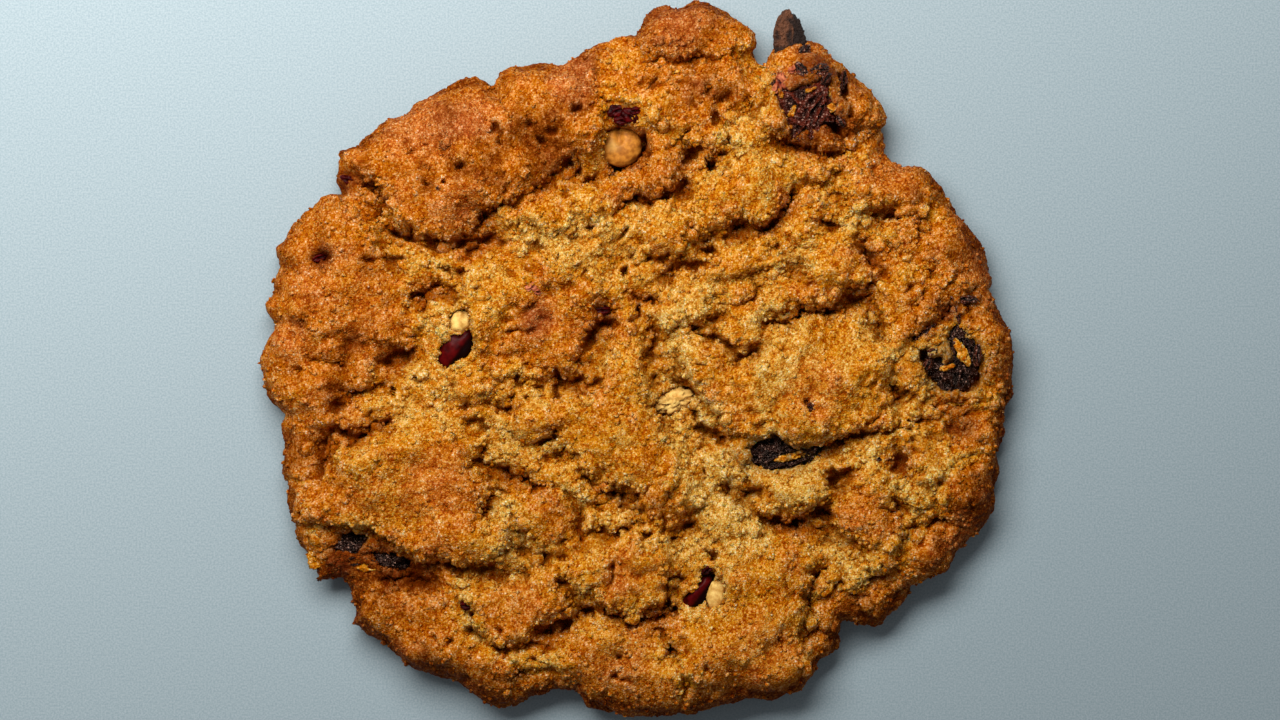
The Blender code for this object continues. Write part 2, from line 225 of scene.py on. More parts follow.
# Each plate of crust: how far it rises, how brown it baked, and its outline. Outlines that reach past
# the rim run over the edge.
PLATES = (
    (1.5, 0.80, ((-40, 27), (-34, 33), (-20, 37), (-18.2, 34), (-17.6, 37), (-5, 41), (-3.6, 37),
        (-4.8, 33.5), (-4.4, 29), (-5.2, 25), (-7.8, 24.6), (-9.3, 23.2), (-11, 21.6), (-13, 20.1),
        (-15.5, 19), (-17.5, 18.6), (-19.2, 17.4), (-20.3, 15.6), (-21.6, 14.3), (-24.5, 14.6),
        (-27.3, 15.2), (-29.5, 16.2), (-30.2, 18.4), (-31, 20.8), (-33, 21.7), (-35.2, 23.2))),
    (1.1, 0.68, ((-45, 18), (-38.6, 22), (-35, 19.2), (-33, 17), (-31.5, 15), (-31.6, 12.6), (-30, 11),
        (-28.3, 10.2), (-27.2, 8.6), (-28, 7.2), (-27.4, 6.2), (-25.9, 5.6), (-25.4, 4.5), (-26.5, 3.7),
        (-27.5, 2), (-28.5, 1.2), (-30.5, 0.8), (-31.2, -0.8), (-32.2, -2.4), (-34.8, -3.8), (-36.8, -5.6),
        (-37, -7.8), (-38.8, -8.6), (-40, -11.4), (-40.4, -14.4), (-47, -14), (-49, 0))),
    (1.2, 0.50, ((-21.5, 9.8), (-20.3, 12.6), (-17, 13), (-14, 11.6), (-12.5, 10.4), (-10.8, 11.6),
        (-8, 12.2), (-5, 11.2), (-4.2, 9.6), (-4.2, 7.5), (-4.6, 5.2), (-5.8, 3.6), (-6.4, 1.6),
        (-7.6, -0.2), (-8, -1.6), (-12, -2.2), (-15, -1.8), (-17, -2.4), (-19, -0.9), (-20.3, 0.4),
        (-19.8, 2.2), (-20.2, 4.2), (-20.8, 6.2), (-21.8, 7.8))),
    (0.8, 0.38, ((-24.8, -1.5), (-22, -1), (-19.5, -0.6), (-16, -1.5), (-14.5, -2.6), (-15.2, -4.4),
        (-17.5, -4.8), (-20, -4.8), (-22.5, -4.6), (-24.8, -3.8), (-25.2, -2.6))),
    (1.8, 0.74, ((-40, -14.6), (-37.5, -13.2), (-35.8, -10.2), (-34, -10), (-31.8, -8.8), (-30, -7.8),
        (-28.6, -6.6), (-27.5, -5.2), (-25.8, -5.3), (-24.6, -6.3), (-23.3, -8), (-20, -9), (-18.2, -9.6),
        (-19.6, -10.6), (-20, -12.5), (-18.6, -13.7), (-17, -15), (-18.4, -16.2), (-19, -18), (-18, -19.8),
        (-16.4, -18.6), (-15.6, -19.6), (-15.4, -22), (-17, -23.6), (-18.6, -24.6), (-24, -24),
        (-26.5, -24.4), (-27.4, -23), (-29, -22.6), (-30.5, -21.6), (-32, -20.4), (-34.5, -20),
        (-46, -19.6), (-47, -14))),
    (1.4, 0.60, ((-3.2, 3.8), (-1.5, 4.2), (0.2, 3.6), (0.4, 1.6), (0.3, -0.5), (0.6, -3), (0.9, -5.6),
        (2.2, -6.2), (2.6, -8.6), (4.4, -9.8), (5, -12), (4.6, -14.4), (3, -17.6), (1.5, -18.2),
        (0.2, -17.8), (-0.3, -15.8), (-1.4, -15.2), (-4.2, -15.6), (-5, -14.2), (-6.6, -13.4),
        (-7.4, -11.4), (-8.4, -10.6), (-10, -10.3), (-10.1, -8.4), (-11.6, -9.8), (-13.4, -10),
        (-14.6, -9.4), (-15.4, -7.8), (-14.4, -6), (-12, -5.2), (-9.6, -4.9), (-6.4, -4.6), (-6, -3.5),
        (-4.8, -2.4), (-4.4, -0.4), (-4.2, 1.6))),
    (1.8, 0.62, ((5, 3.4), (8, 2.6), (10, 1.3), (12.3, -0.3), (14.2, 0.6), (15.4, 1.6), (15.8, 3.6),
        (18, 4.2), (20.2, 5), (22.6, 4.6), (24, 5.4), (26.5, 6), (27.6, 5.2), (27.6, 3.8), (28.6, 2.6),
        (30, 2.2), (30, 0), (29.8, -2), (30.4, -3.8), (30.4, -6), (30, -8.5), (28.8, -8.2), (27, -8.2),
        (25, -8.8), (23, -9.6), (20.5, -10.2), (18, -9.8), (16.5, -8.6), (14, -9.2), (10.4, -9.2),
        (9.6, -7), (8.6, -6), (7.4, -4.6), (6.2, -3.2), (5.4, -1.4), (4.6, 1))),
    (1.4, 0.22, ((12, -12.8), (15, -13.3), (18, -12.9), (21, -12.5), (24.5, -11.6), (26.8, -12.6),
        (24.6, -13.2), (22.8, -14.6), (22.8, -16), (21.4, -17.2), (20.2, -18), (19.4, -18.8), (17.8, -19.2),
        (16, -19), (14.8, -18.2), (13.6, -17.2), (12, -15.2), (11.2, -14))),
    (1.4, 0.66, ((23, -16.2), (24.6, -16), (26, -14.6), (27, -13.2), (29, -14), (30.5, -15.4), (30, -17),
        (31.2, -18), (33, -18.6), (32, -20.2), (31.2, -22.4), (31.6, -24.4), (30, -26), (28, -26),
        (26.8, -24.6), (27.5, -22.6), (26, -21.6), (24.4, -21), (23.6, -19.6), (22.8, -18.4))),
    (1.1, 0.85, ((36.2, -14), (38.4, -12), (41.6, -11), (48, -12), (47, -19), (42, -22), (38.4, -20.6),
        (37, -19.4), (35.8, -18), (35.4, -16))),
    (0.9, 0.66, ((32.4, -21.6), (34, -22.6), (36, -21), (42, -23), (38, -30), (33, -31), (31.4, -25.6),
        (31.2, -23.6))),
    (1.1, 0.55, ((31.4, -7.6), (33.4, -8.4), (35.4, -9), (37.4, -9.6), (39.4, -9), (42, -8.4), (47, -9),
        (43, -11), (40, -11.6), (38, -12), (36, -14), (34.8, -15.6), (33, -14.2), (32, -12.6), (31.8, -11),
        (30.4, -9.6))),
    (1.1, 0.60, ((30.4, 1), (32.2, 2.2), (34, 4), (35.6, 5.6), (36.2, 6.8), (35.6, 8.4), (34, 8.2),
        (32.4, 8.8), (31, 10), (29.6, 9), (28.8, 7.4), (28.9, 5.6), (29.6, 4), (29.6, 2.2))),
    (1.2, 0.55, ((30.2, 0.4), (32.6, 1.2), (33.8, 0.6), (34.2, -1.2), (34.4, -3), (35, -4), (33.6, -4.8),
        (32, -3.8), (30.8, -3.2), (30, -1.6))),
    (1.0, 0.70, ((41.6, 7), (42.6, 6.4), (47, 6.6), (49, 4), (49, -4), (45, -4.8), (42.6, -3.4), (41.8, -2),
        (41.9, 0), (41, 1.6), (40.6, 3.4), (39.4, 4.6), (39.8, 6))),
    (1.1, 0.66, ((34.8, 17.4), (40, 21), (45, 16), (46, 10), (42.4, 8.6), (40.8, 8.4), (38.6, 9),
        (36.4, 9.4), (35, 11.6), (33.6, 12), (34, 14))),
    (0.9, 0.50, ((30.2, 16.2), (32.4, 16.6), (33.6, 15.4), (33.2, 13.4), (31.8, 12.4), (30.4, 13),
        (29.6, 14.6))),
    (0.9, 0.50, ((27.2, 14.8), (28.6, 15.2), (29.8, 14.2), (29.4, 13), (28.2, 12.9), (27.2, 13.6))),
    (1.2, 0.62, ((22.4, 24.6), (26, 24.6), (29.5, 24.4), (31.5, 26), (34, 26), (39, 21.6), (35.2, 19.4),
        (34.4, 17.8), (32.6, 17.4), (30, 18.2), (28, 18.4), (25.6, 17.2), (25, 19.4), (24.6, 21),
        (25.2, 22), (23.6, 23))),
    (1.1, 0.44, ((18.4, 19.8), (20.4, 20.8), (22.3, 20), (22.2, 18), (21.4, 16.6), (21.4, 14.8),
        (19.6, 13.6), (18.2, 14.2), (17.2, 15.4), (17.6, 17.2), (18, 18.4))),
    (1.3, 0.56, ((22.6, 15.8), (24.6, 16), (26, 14.6), (26.8, 12.6), (28.4, 11), (28.6, 9.2), (26.8, 8.8),
        (24.6, 8.6), (23.8, 7.2), (21.8, 6.2), (20.2, 6.6), (18.4, 6.2), (16.2, 5.4), (14.8, 6),
        (15.6, 7.8), (17.2, 9), (19.4, 9.4), (20.2, 10.8), (19, 12.6), (20.6, 13.4))),
    (1.1, 0.30, ((1, 5.6), (2.2, 7), (3.2, 8.6), (5.4, 9.8), (7.6, 9.8), (9.4, 8.8), (9.8, 7.6), (8, 6.8),
        (8.6, 5.2), (7, 4.6), (5.2, 4.6), (3.4, 3.2), (2.4, 4.2))),
    (1.2, 0.52, ((7.6, 10.6), (9, 12.6), (11.4, 14), (14, 14.6), (16.4, 13.8), (17.6, 12.2), (16.6, 11),
        (13.4, 10.4), (10.6, 9.8), (9, 9.8))),
    (0.9, 0.48, ((10.4, 7.2), (11, 8.8), (13, 9.6), (15.4, 9.8), (16, 8.6), (14.8, 7), (14.2, 5.4),
        (14.8, 3.4), (14, 1.8), (12.4, 1.6), (10.8, 2.4), (9.4, 3.2), (9.2, 4.8), (10.6, 5.8))),
    (1.4, 0.52, ((5.6, 19), (7.4, 21), (9.6, 22.4), (11.6, 24), (13.6, 25), (17, 24.8), (20.4, 24.8),
        (22.6, 23.6), (22.4, 21.8), (20.4, 21), (18.4, 21.4), (17.8, 20), (17.2, 18.4), (16.2, 17.2),
        (15, 16.4), (13.8, 16.4), (12.6, 16.9), (11, 16.6), (9.8, 15.6), (8, 15.4), (6.2, 14.8),
        (5.2, 13.2), (3.6, 12.4), (1.4, 12.6), (0.2, 14.2), (0.2, 16.4), (1, 18.4), (3, 18.6))),
    (1.3, 0.56, ((-12.6, 20.6), (-10, 21.2), (-7.6, 21.8), (-5.6, 21.4), (-3.6, 21.6), (-2.6, 22.8),
        (0, 23.4), (0.8, 25.4), (1, 27), (3, 27.6), (5, 26.4), (5.4, 24.6), (5.2, 22.6), (4.6, 21),
        (3.6, 20.2), (1.6, 19.4), (-0.8, 19.6), (-2.2, 18.8), (-3, 17.4), (-4.6, 17.9), (-6.2, 16.5),
        (-7.6, 17.3), (-9, 15.3), (-10.6, 14.7), (-12.2, 15.9), (-13.6, 16.9), (-15, 16.2), (-16.6, 16.6),
        (-17.6, 17.4), (-15, 18.4))),
    (1.25, 0.60, ((-6.6, 40), (-6.2, 36), (0, 36.4), (4, 35.6), (8, 36.2), (12, 36.8), (14.4, 35), (15, 33),
        (14.8, 30.8), (13, 30.6), (10.8, 30), (10.2, 28.2), (9.6, 26.2), (8, 25.4), (6, 25.6), (5, 27.4),
        (1.4, 28), (0.6, 30.4), (-2, 31.2), (-4, 31), (-6.4, 33))),
    (1.4, 0.70, ((0.2, 37), (2, 36.4), (4, 36.1), (7, 36.6), (10, 36.8), (13, 37.4), (16, 38), (16, 46),
        (2, 47), (-3, 40))),
    (1.6, 0.64, ((15.4, 35.4), (15.6, 33), (15, 30), (14.2, 28), (16, 26.6), (18.6, 27), (19.8, 25.4),
        (22, 25), (24, 25.6), (26, 26), (26.8, 27.4), (28.4, 28.4), (34, 28), (34, 33), (28, 38), (22, 43),
        (15.6, 42))),
    (0.7, 0.40, ((11, 26.6), (12.6, 28.4), (14.6, 29.6), (15, 27.4), (14.6, 25.8), (12.6, 25.2))),
    (1.7, 0.62, ((-9.6, -24.6), (-7, -23.2), (-4.6, -22.6), (-2.4, -20.8), (-0.6, -20.6), (1.4, -21.8),
        (3, -22.8), (3.6, -25), (3.4, -27.2), (2.8, -29), (1.6, -29.8), (-0.4, -30.8), (-2.4, -30.2),
        (-4.4, -29.4), (-5, -28), (-7.6, -27.4), (-9, -26.4))),
    (0.9, 0.62, ((0, -16.2), (1.6, -15.6), (3.6, -15.2), (5.2, -14.2), (6.6, -15.8), (7.4, -17.4),
        (6, -18.8), (4.6, -20.6), (2.8, -20.4), (1.4, -19.2), (0.2, -18.4))),
    (1.0, 0.50, ((-6.4, -18.6), (-4, -17.4), (-2, -17.2), (-0.8, -18.2), (-1, -19.8), (-3, -20.4),
        (-5.6, -20.2), (-7, -21))),
    (1.2, 0.58, ((-14.6, -16.4), (-13, -16.2), (-11, -15.8), (-9.2, -15.4), (-8.2, -17.4), (-8, -19.4),
        (-8.4, -21), (-10, -22.8), (-12.4, -22.2), (-13.6, -20.4), (-15.4, -19.4))),
    (0.6, 0.15, ((-10, -14.2), (-7.6, -13.8), (-5.2, -15.6), (-5.2, -17), (-6.8, -18.2), (-7.4, -16.8),
        (-8.6, -15.4))),
    (1.4, 0.66, ((-20, -26.2), (-16, -26.6), (-12.8, -24.8), (-10.2, -24.6), (-10, -26.4), (-9.6, -28),
        (-8.2, -29.2), (-8.2, -30.6), (-10, -31.2), (-12, -31.6), (-13.6, -33.2), (-15.4, -34.2),
        (-18, -33.8), (-20, -32), (-20.4, -30), (-21.6, -28))),
    (1.0, 0.70, ((-40, -27.4), (-33, -27.6), (-29, -28.2), (-25, -28), (-22.4, -27.4), (-22, -29.6),
        (-21, -31.4), (-19.6, -33.4), (-16.6, -35.4), (-15.4, -37), (-15, -39), (-18, -48), (-38, -42),
        (-40, -32))),
    (1.1, 0.66, ((-8.4, -31.6), (-6, -31.8), (-4, -31), (-1.6, -32), (1, -32), (2.6, -33.4), (3, -34.6),
        (4, -36), (5, -36.8), (5, -40), (4, -48), (-9, -48), (-7, -40.6), (-9.6, -39), (-10, -37),
        (-9.6, -34.8), (-8.4, -33.2))),
    (1.6, 0.70, ((9.6, -22.2), (12, -21.4), (15, -21.6), (18, -21.8), (20.4, -22.8), (21, -24.6),
        (20.4, -26.8), (19.8, -29), (20, -31), (19.4, -33), (20.6, -36), (25, -40), (18, -47), (5, -48),
        (5.4, -38), (4.6, -35.8), (3.2, -33.6), (2.6, -31.6), (4.6, -30.2), (6.6, -30.4), (8, -29.8),
        (10.2, -28), (9.8, -26), (8.4, -24.6))),
    (0.8, 0.20, ((21.4, -25.4), (23, -24.8), (24.4, -26), (23.4, -27.6), (22, -29), (20.8, -28),
        (21, -26.6))),
    (0.8, 0.15, ((24.8, -25.4), (26.4, -25), (27.6, -26.2), (26.8, -27.6), (25, -27.4))),
    (0.7, 0.30, ((22.6, -29.6), (24.6, -29), (26, -30.8), (25, -32.6), (23, -32), (21.8, -30.8))),
    (0.8, 0.25, ((30.8, -16), (32.4, -15.2), (34.6, -15.6), (35.6, -16.6), (34.8, -18.4), (32.6, -17.6))),
    (0.5, 0.12, ((7.6, -18.4), (9.4, -17), (12, -16.8), (14.4, -19), (14.6, -21), (11, -20.8), (9, -21.6),
        (7.8, -20))),
    (0.6, 0.30, ((-35.8, -5.4), (-33, -4.6), (-30, -4.4), (-28.4, -5.4), (-29.6, -7), (-32, -8),
        (-34.4, -8))),
)

# The tears and slits that the skin opened: half width, depth, and the points each runs through.
TEARS = (
    (0.55, 2.6, ((-30, 15.6), (-27.4, 14.6), (-24.4, 14), (-21.8, 13.6), (-20.4, 15.2), (-19, 17))),
    (0.6, 2.2, ((-20.8, 12.4), (-19.6, 14.2), (-17.6, 14.9), (-16, 14.4))),
    (0.5, 2.0, ((-19, 17), (-17, 17.9), (-14.6, 18.4))),
    (0.6, 2.2, ((-12.8, 20.3), (-11, 21.6), (-9.6, 23), (-8, 24.2))),
    (0.4, 2.6, ((-7.9, 22.4), (-7, 22.9))),
    (0.35, 3.0, ((-6.4, 22), (-4.8, 21.9), (-3.6, 21.8), (-2.8, 22.8))),
    (0.45, 3.6, ((-3.6, 23.1), (-1.6, 23.4), (-0.4, 24.1), (0.2, 25), (0.3, 26.8))),
    (0.4, 2.8, ((-2, 19.2), (-0.6, 19.5), (1, 19.1), (3, 19.6))),
    (0.7, 2.4, ((3.2, 19.8), (4.6, 20.4), (5.4, 22.2))),
    (0.5, 3.6, ((11.4, 15.9), (13.4, 15.7), (15.2, 15.7), (16.6, 16.8), (17.6, 18.4), (18.1, 19.8))),
    (0.6, 2.6, ((5.2, 24.2), (6.6, 25), (8.4, 25.4), (9.8, 24.6))),
    (0.6, 1.6, ((5.6, 14.6), (7.4, 14.2), (9, 14.8), (11.4, 14.6))),
    (0.5, 2.2, ((7.1, 13), (8, 13.1), (8.9, 13.2))),
    (0.9, 2.2, ((2.4, 12), (4, 11.2), (5.6, 11.6), (7, 11))),
    (0.7, 2.0, ((2.2, 9.4), (3.6, 10.4), (4.6, 10.8))),
    (0.4, 3.2, ((-0.8, 7.7), (0.6, 7.5), (2.1, 7.3))),
    (0.4, 2.8, ((-0.3, 6.6), (-0.2, 5.4), (-0.5, 4.4))),
    (1.0, 2.4, ((-3.4, 4.8), (-5.2, 3.4), (-6.2, 1.8), (-6.8, 0.2))),
    (0.8, 2.6, ((-10.2, -2), (-9, -2.6), (-7.6, -2.8))),
    (0.5, 2.6, ((-9.9, -3), (-10, -4.6))),
    (0.5, 1.8, ((-6.6, -3.6), (-5.4, -2.6))),
    (0.45, 2.0, ((-16.2, 2.6), (-15, 3.2), (-13.2, 3.4), (-11.4, 4.8))),
    (0.9, 1.0, ((-18, 2.4), (-16, 4.6), (-13, 6.6), (-11, 8.2), (-8.6, 9))),
    (0.7, 0.9, ((-19.4, 0.4), (-16.4, 0.8), (-14, 1))),
    (0.45, 3.0, ((15.5, 4.1), (17, 4.4), (18.4, 5.1), (19.6, 5.8), (21, 5.5), (22.2, 5.3), (23.8, 6),
        (24.8, 6.2))),
    (0.35, 2.4, ((5.2, 4.1), (6.6, 3.9), (7.6, 4.3), (9, 4.7))),
    (0.6, 2.4, ((7.2, 3.3), (8.8, 3), (10, 2), (11.4, 1.5))),
    (0.4, 3.0, ((12.2, 0.3), (13.2, 0.3), (14, 1.1))),
    (0.6, 2.2, ((1.2, 3.8), (2, 2.6), (1.6, 1.2), (1, 0.2))),
    (1.0, 1.2, ((1.4, 0), (1.6, -2.4), (2, -4.4))),
    (0.6, 1.8, ((4.2, -2.8), (5.4, -3.2), (6.8, -4), (7, -5))),
    (0.5, 1.8, ((5.6, -5), (6.4, -6), (6.8, -7.4))),
    (0.8, 3.0, ((6.9, -8.2), (8.2, -8.7), (9.6, -9.4))),
    (0.5, 1.6, ((2.6, -6.8), (3.4, -7.4), (4.2, -8.4))),
    (0.5, 2.6, ((22, -10.4), (24.4, -9.6), (26.2, -9.1), (28, -8.9), (28.7, -7.8))),
    (0.9, 1.8, ((24.2, 7.4), (26, 7), (27.4, 7.6))),
    (0.5, 2.6, ((26.3, 14.9), (26.7, 13.6), (27.6, 12.4), (28.8, 11.6), (29.4, 10.8))),
    (0.8, 1.8, ((29.6, 10.4), (28.2, 9.6), (27.4, 8.4))),
    (0.5, 2.4, ((28.2, 17.5), (29.2, 17.2), (30.4, 17.2), (32.2, 16.8))),
    (0.8, 1.8, ((33, 13.8), (33.8, 13), (33.4, 14.8))),
    (0.5, 2.2, ((33.8, 16.6), (34.8, 15.8))),
    (0.6, 2.0, ((20.2, 21.6), (21.6, 21.4), (23, 22.2))),
    (0.5, 2.0, ((22, 17), (22.8, 16.4), (23.6, 16))),
    (0.35, 2.2, ((24, 20), (24.3, 18.8))),
    (0.5, 2.2, ((18.6, 10.6), (19.4, 9.9), (20.2, 9.2))),
    (0.5, 1.8, ((16.4, 13.4), (17, 14.8))),
    (0.5, 1.6, ((12.4, 6.8), (13.4, 7.4), (14.2, 8.4))),
    (0.6, 2.8, ((17, 26.4), (18.2, 26), (19.6, 25.4), (22, 24.8), (24.4, 24.8), (26.4, 25.6))),
    (0.6, 2.4, ((26.6, 26), (27, 27.4), (28.2, 28.2), (30.4, 28.2))),
    (0.9, 3.4, ((22.6, 28.8), (23.4, 28), (24.2, 26.8))),
    (0.4, 1.6, ((25, 33.6), (25, 31.4), (25.3, 29.4))),
    (0.4, 0.9, ((0.1, 37.2), (1.6, 36.6), (3.6, 35.9), (5.6, 36), (7, 36.6))),
    (0.5, 0.9, ((7.2, 36.4), (9, 36.4), (10.8, 35.6))),
    (0.4, 1.4, ((0, 33.2), (1.6, 33.4), (3.6, 33.2), (5, 33.4))),
    (0.6, 1.8, ((10.2, 31.6), (11.4, 31.1), (12.8, 31.4))),
    (0.5, 2.0, ((-6.4, 35.2), (-5.2, 35.1))),
    (0.7, 2.2, ((-36, 22.6), (-34.6, 21.6), (-33, 21), (-32.4, 20.6))),
    (0.6, 2.0, ((-33, 17.4), (-31.6, 18), (-30.4, 19))),
    (0.35, 1.8, ((-25.8, 23.2), (-25.5, 22), (-25.6, 20.9))),
    (0.3, 1.4, ((-30, 26.6), (-28.2, 26.4), (-27.4, 25.2))),
    (0.6, 2.6, ((-27.2, 7.6), (-25.8, 8.2), (-24.2, 8.8), (-23, 8.3))),
    (0.8, 1.0, ((-35, 1.9), (-32.4, 2), (-30, 2.7), (-26.6, 3.6))),
    (0.9, 3.0, ((-30.8, 0), (-29.6, 0.9), (-28.4, 0.7))),
    (0.7, 1.6, ((-29.8, -0.6), (-28.4, -0.4))),
    (0.3, 1.8, ((-40.4, 0.1), (-39, 0), (-37.4, -0.3), (-36, -0.6))),
    (0.3, 1.4, ((-41, 4.4), (-40, 5.2), (-39.2, 5.4))),
    (0.35, 1.6, ((-42.4, -2.4), (-41.8, -1.6), (-41, -0.8))),
    (0.8, 2.0, ((-35.4, -4), (-33.4, -3.8), (-31.4, -3.1))),
    (1.0, 2.0, ((-37.2, -6.4), (-36.4, -4.8), (-34.6, -4.4))),
    (0.6, 3.6, ((-35.9, -8.7), (-34.4, -9.4), (-33.2, -9.1), (-31.8, -8), (-30.6, -7.4))),
    (1.0, 2.6, ((-37, -8.6), (-38.6, -9.8), (-39.6, -12), (-39.8, -14.6))),
    (0.6, 1.6, ((-21.4, -6), (-19.8, -5.6), (-17.8, -5.4), (-15.8, -5.9))),
    (0.7, 1.6, ((-20.4, -7.4), (-19, -6.8), (-18.6, -8))),
    (0.5, 1.8, ((-19.6, -11.6), (-18.4, -12.9), (-17, -13.5))),
    (0.6, 2.4, ((-16.2, -13.4), (-15.2, -14))),
    (0.7, 3.6, ((-13.8, -14.8), (-12.6, -15.3), (-11.3, -15.3))),
    (0.7, 1.8, ((-12.4, -9.8), (-11, -9.2), (-10.2, -8.2))),
    (0.6, 1.6, ((-11.2, -12), (-10, -11.8))),
    (0.5, 1.8, ((-6.6, -14.2), (-5.4, -15))),
    (0.7, 3.0, ((-4, -16), (-2.4, -16.4), (-0.8, -16.3))),
    (0.35, 2.0, ((-6, -17.9), (-4.8, -17.6), (-3.8, -16.8))),
    (0.45, 2.4, ((-7.5, -18.4), (-7.6, -20), (-7.2, -21.6))),
    (0.5, 1.6, ((-5, -20.6), (-3, -20.8), (-1.4, -20), (-0.4, -19.6))),
    (0.5, 1.8, ((-18.2, -17), (-18.4, -18.4), (-17.8, -19.4))),
    (0.8, 1.8, ((-15, -22.6), (-13, -23.6), (-11, -23.4))),
    (0.7, 1.4, ((-13.4, -20.6), (-13.8, -22))),
    (0.7, 1.4, ((-11, -24.2), (-9.4, -23.6), (-7.6, -22.6))),
    (0.4, 2.2, ((-3.2, -25), (-3.4, -26), (-3.2, -27))),
    (0.6, 2.4, ((-9.6, -27), (-8.8, -27.4))),
    (1.0, 1.4, ((-8.4, -28.8), (-6.8, -29.4), (-5.4, -29.2))),
    (0.6, 2.8, ((-7.2, -30.8), (-5, -30), (-3.4, -31), (-1, -31.5), (1, -31.3), (2.6, -30.8))),
    (0.5, 2.4, ((2.8, -29.8), (3.3, -28.4), (3.7, -26.6), (5, -26.2))),
    (0.6, 3.2, ((2.9, -30.9), (4.2, -30.3))),
    (0.7, 1.8, ((4.6, -26.8), (4.4, -28.4))),
    (0.7, 1.4, ((2, -32.4), (3, -33.2))),
    (0.6, 3.0, ((3.4, -34.6), (4.4, -35.2))),
    (0.8, 3.0, ((-11, -32.8), (-10, -32.2), (-8.8, -31.9))),
    (0.6, 2.6, ((-16.2, -34.8), (-14, -34.6), (-12, -34.9), (-10.4, -34.8))),
    (0.5, 2.2, ((-13, -36.2), (-12.2, -36.4))),
    (0.5, 2.0, ((-15, -38), (-12.6, -38.4), (-10.4, -38), (-9.6, -38.2))),
    (0.4, 2.0, ((4.2, -21.4), (5.2, -20.4), (6, -19.8))),
    (0.6, 2.6, ((8.8, -22.4), (8.4, -23.8))),
    (0.5, 1.8, ((9.2, -25.4), (8, -25.8))),
    (0.4, 2.0, ((7.4, -13.4), (7.6, -14.2))),
    (0.7, 3.4, ((12.7, -16.1), (13.6, -16), (14.4, -16.3))),
    (0.5, 2.2, ((10.3, -15.2), (11, -15.6))),
    (0.9, 2.8, ((23, -15.2), (24, -14.4), (25.4, -14))),
    (0.5, 3.2, ((15, -19.4), (17.4, -19.7), (19.4, -19.4), (20.2, -18.6), (21.2, -17.9), (22.4, -18.4))),
    (0.9, 1.4, ((16, -20.2), (18.6, -20.6), (21, -20.2), (22.6, -19.6))),
    (0.5, 2.6, ((21.8, -25.1), (20.9, -26.4), (20.4, -28), (20.2, -29.2), (21.2, -29.8))),
    (0.5, 2.2, ((23.8, -27.2), (23.2, -27.8))),
    (0.6, 2.4, ((25.6, -29.4), (26.6, -29.7))),
    (0.6, 2.0, ((27.4, -27.2), (28.6, -26.8), (29.8, -26.2))),
    (0.5, 2.4, ((20.6, -34.4), (22.4, -33.6), (24, -33))),
    (0.6, 2.2, ((32.8, -20.6), (33.4, -20.2))),
    (0.5, 2.0, ((30.6, -17.6), (31, -18))),
    (0.5, 2.0, ((33.6, -22), (34.2, -21.8))),
    (0.6, 1.8, ((35.4, -20.8), (37, -20.2), (39, -20.6))),
    (0.4, 1.6, ((30.6, -3.4), (31.4, -4.6), (32, -4.2))),
    (0.6, 3.0, ((33.9, -7.4), (34.8, -7.6))),
    (0.4, 2.2, ((32.2, -6.9), (32.6, -7))),
    (0.35, 1.8, ((36.8, -5.4), (38.4, -5.6), (40, -5.2))),
    (0.9, 1.4, ((36.6, -7), (38, -8), (39.6, -8.2))),
    (0.7, 1.6, ((40.6, -7), (41.6, -6.4))),
    (0.4, 1.8, ((32.6, 2.4), (34, 3.6), (35.2, 4.2), (36.4, 5.4))),
    (0.8, 1.2, ((30.6, -11), (30.2, -12.6), (31.2, -12.8))),
    (0.35, 1.6, ((-32, -26.6), (-29, -26.4), (-26.4, -26.8), (-24, -26.9))),
    (0.6, 1.8, ((-24.2, -24.5), (-22, -24.7), (-20, -24.8), (-17.6, -25.4))),
    (0.5, 2.0, ((-18.4, -25.9), (-17, -25.9))),
    (0.6, 1.8, ((-40.6, -19.8), (-39, -19.8), (-38, -20.2))),
    (0.4, 2.0, ((20.2, -5), (20.6, -6))),
    (0.4, 2.2, ((28.4, 4.2), (28.9, 3.2))),
)

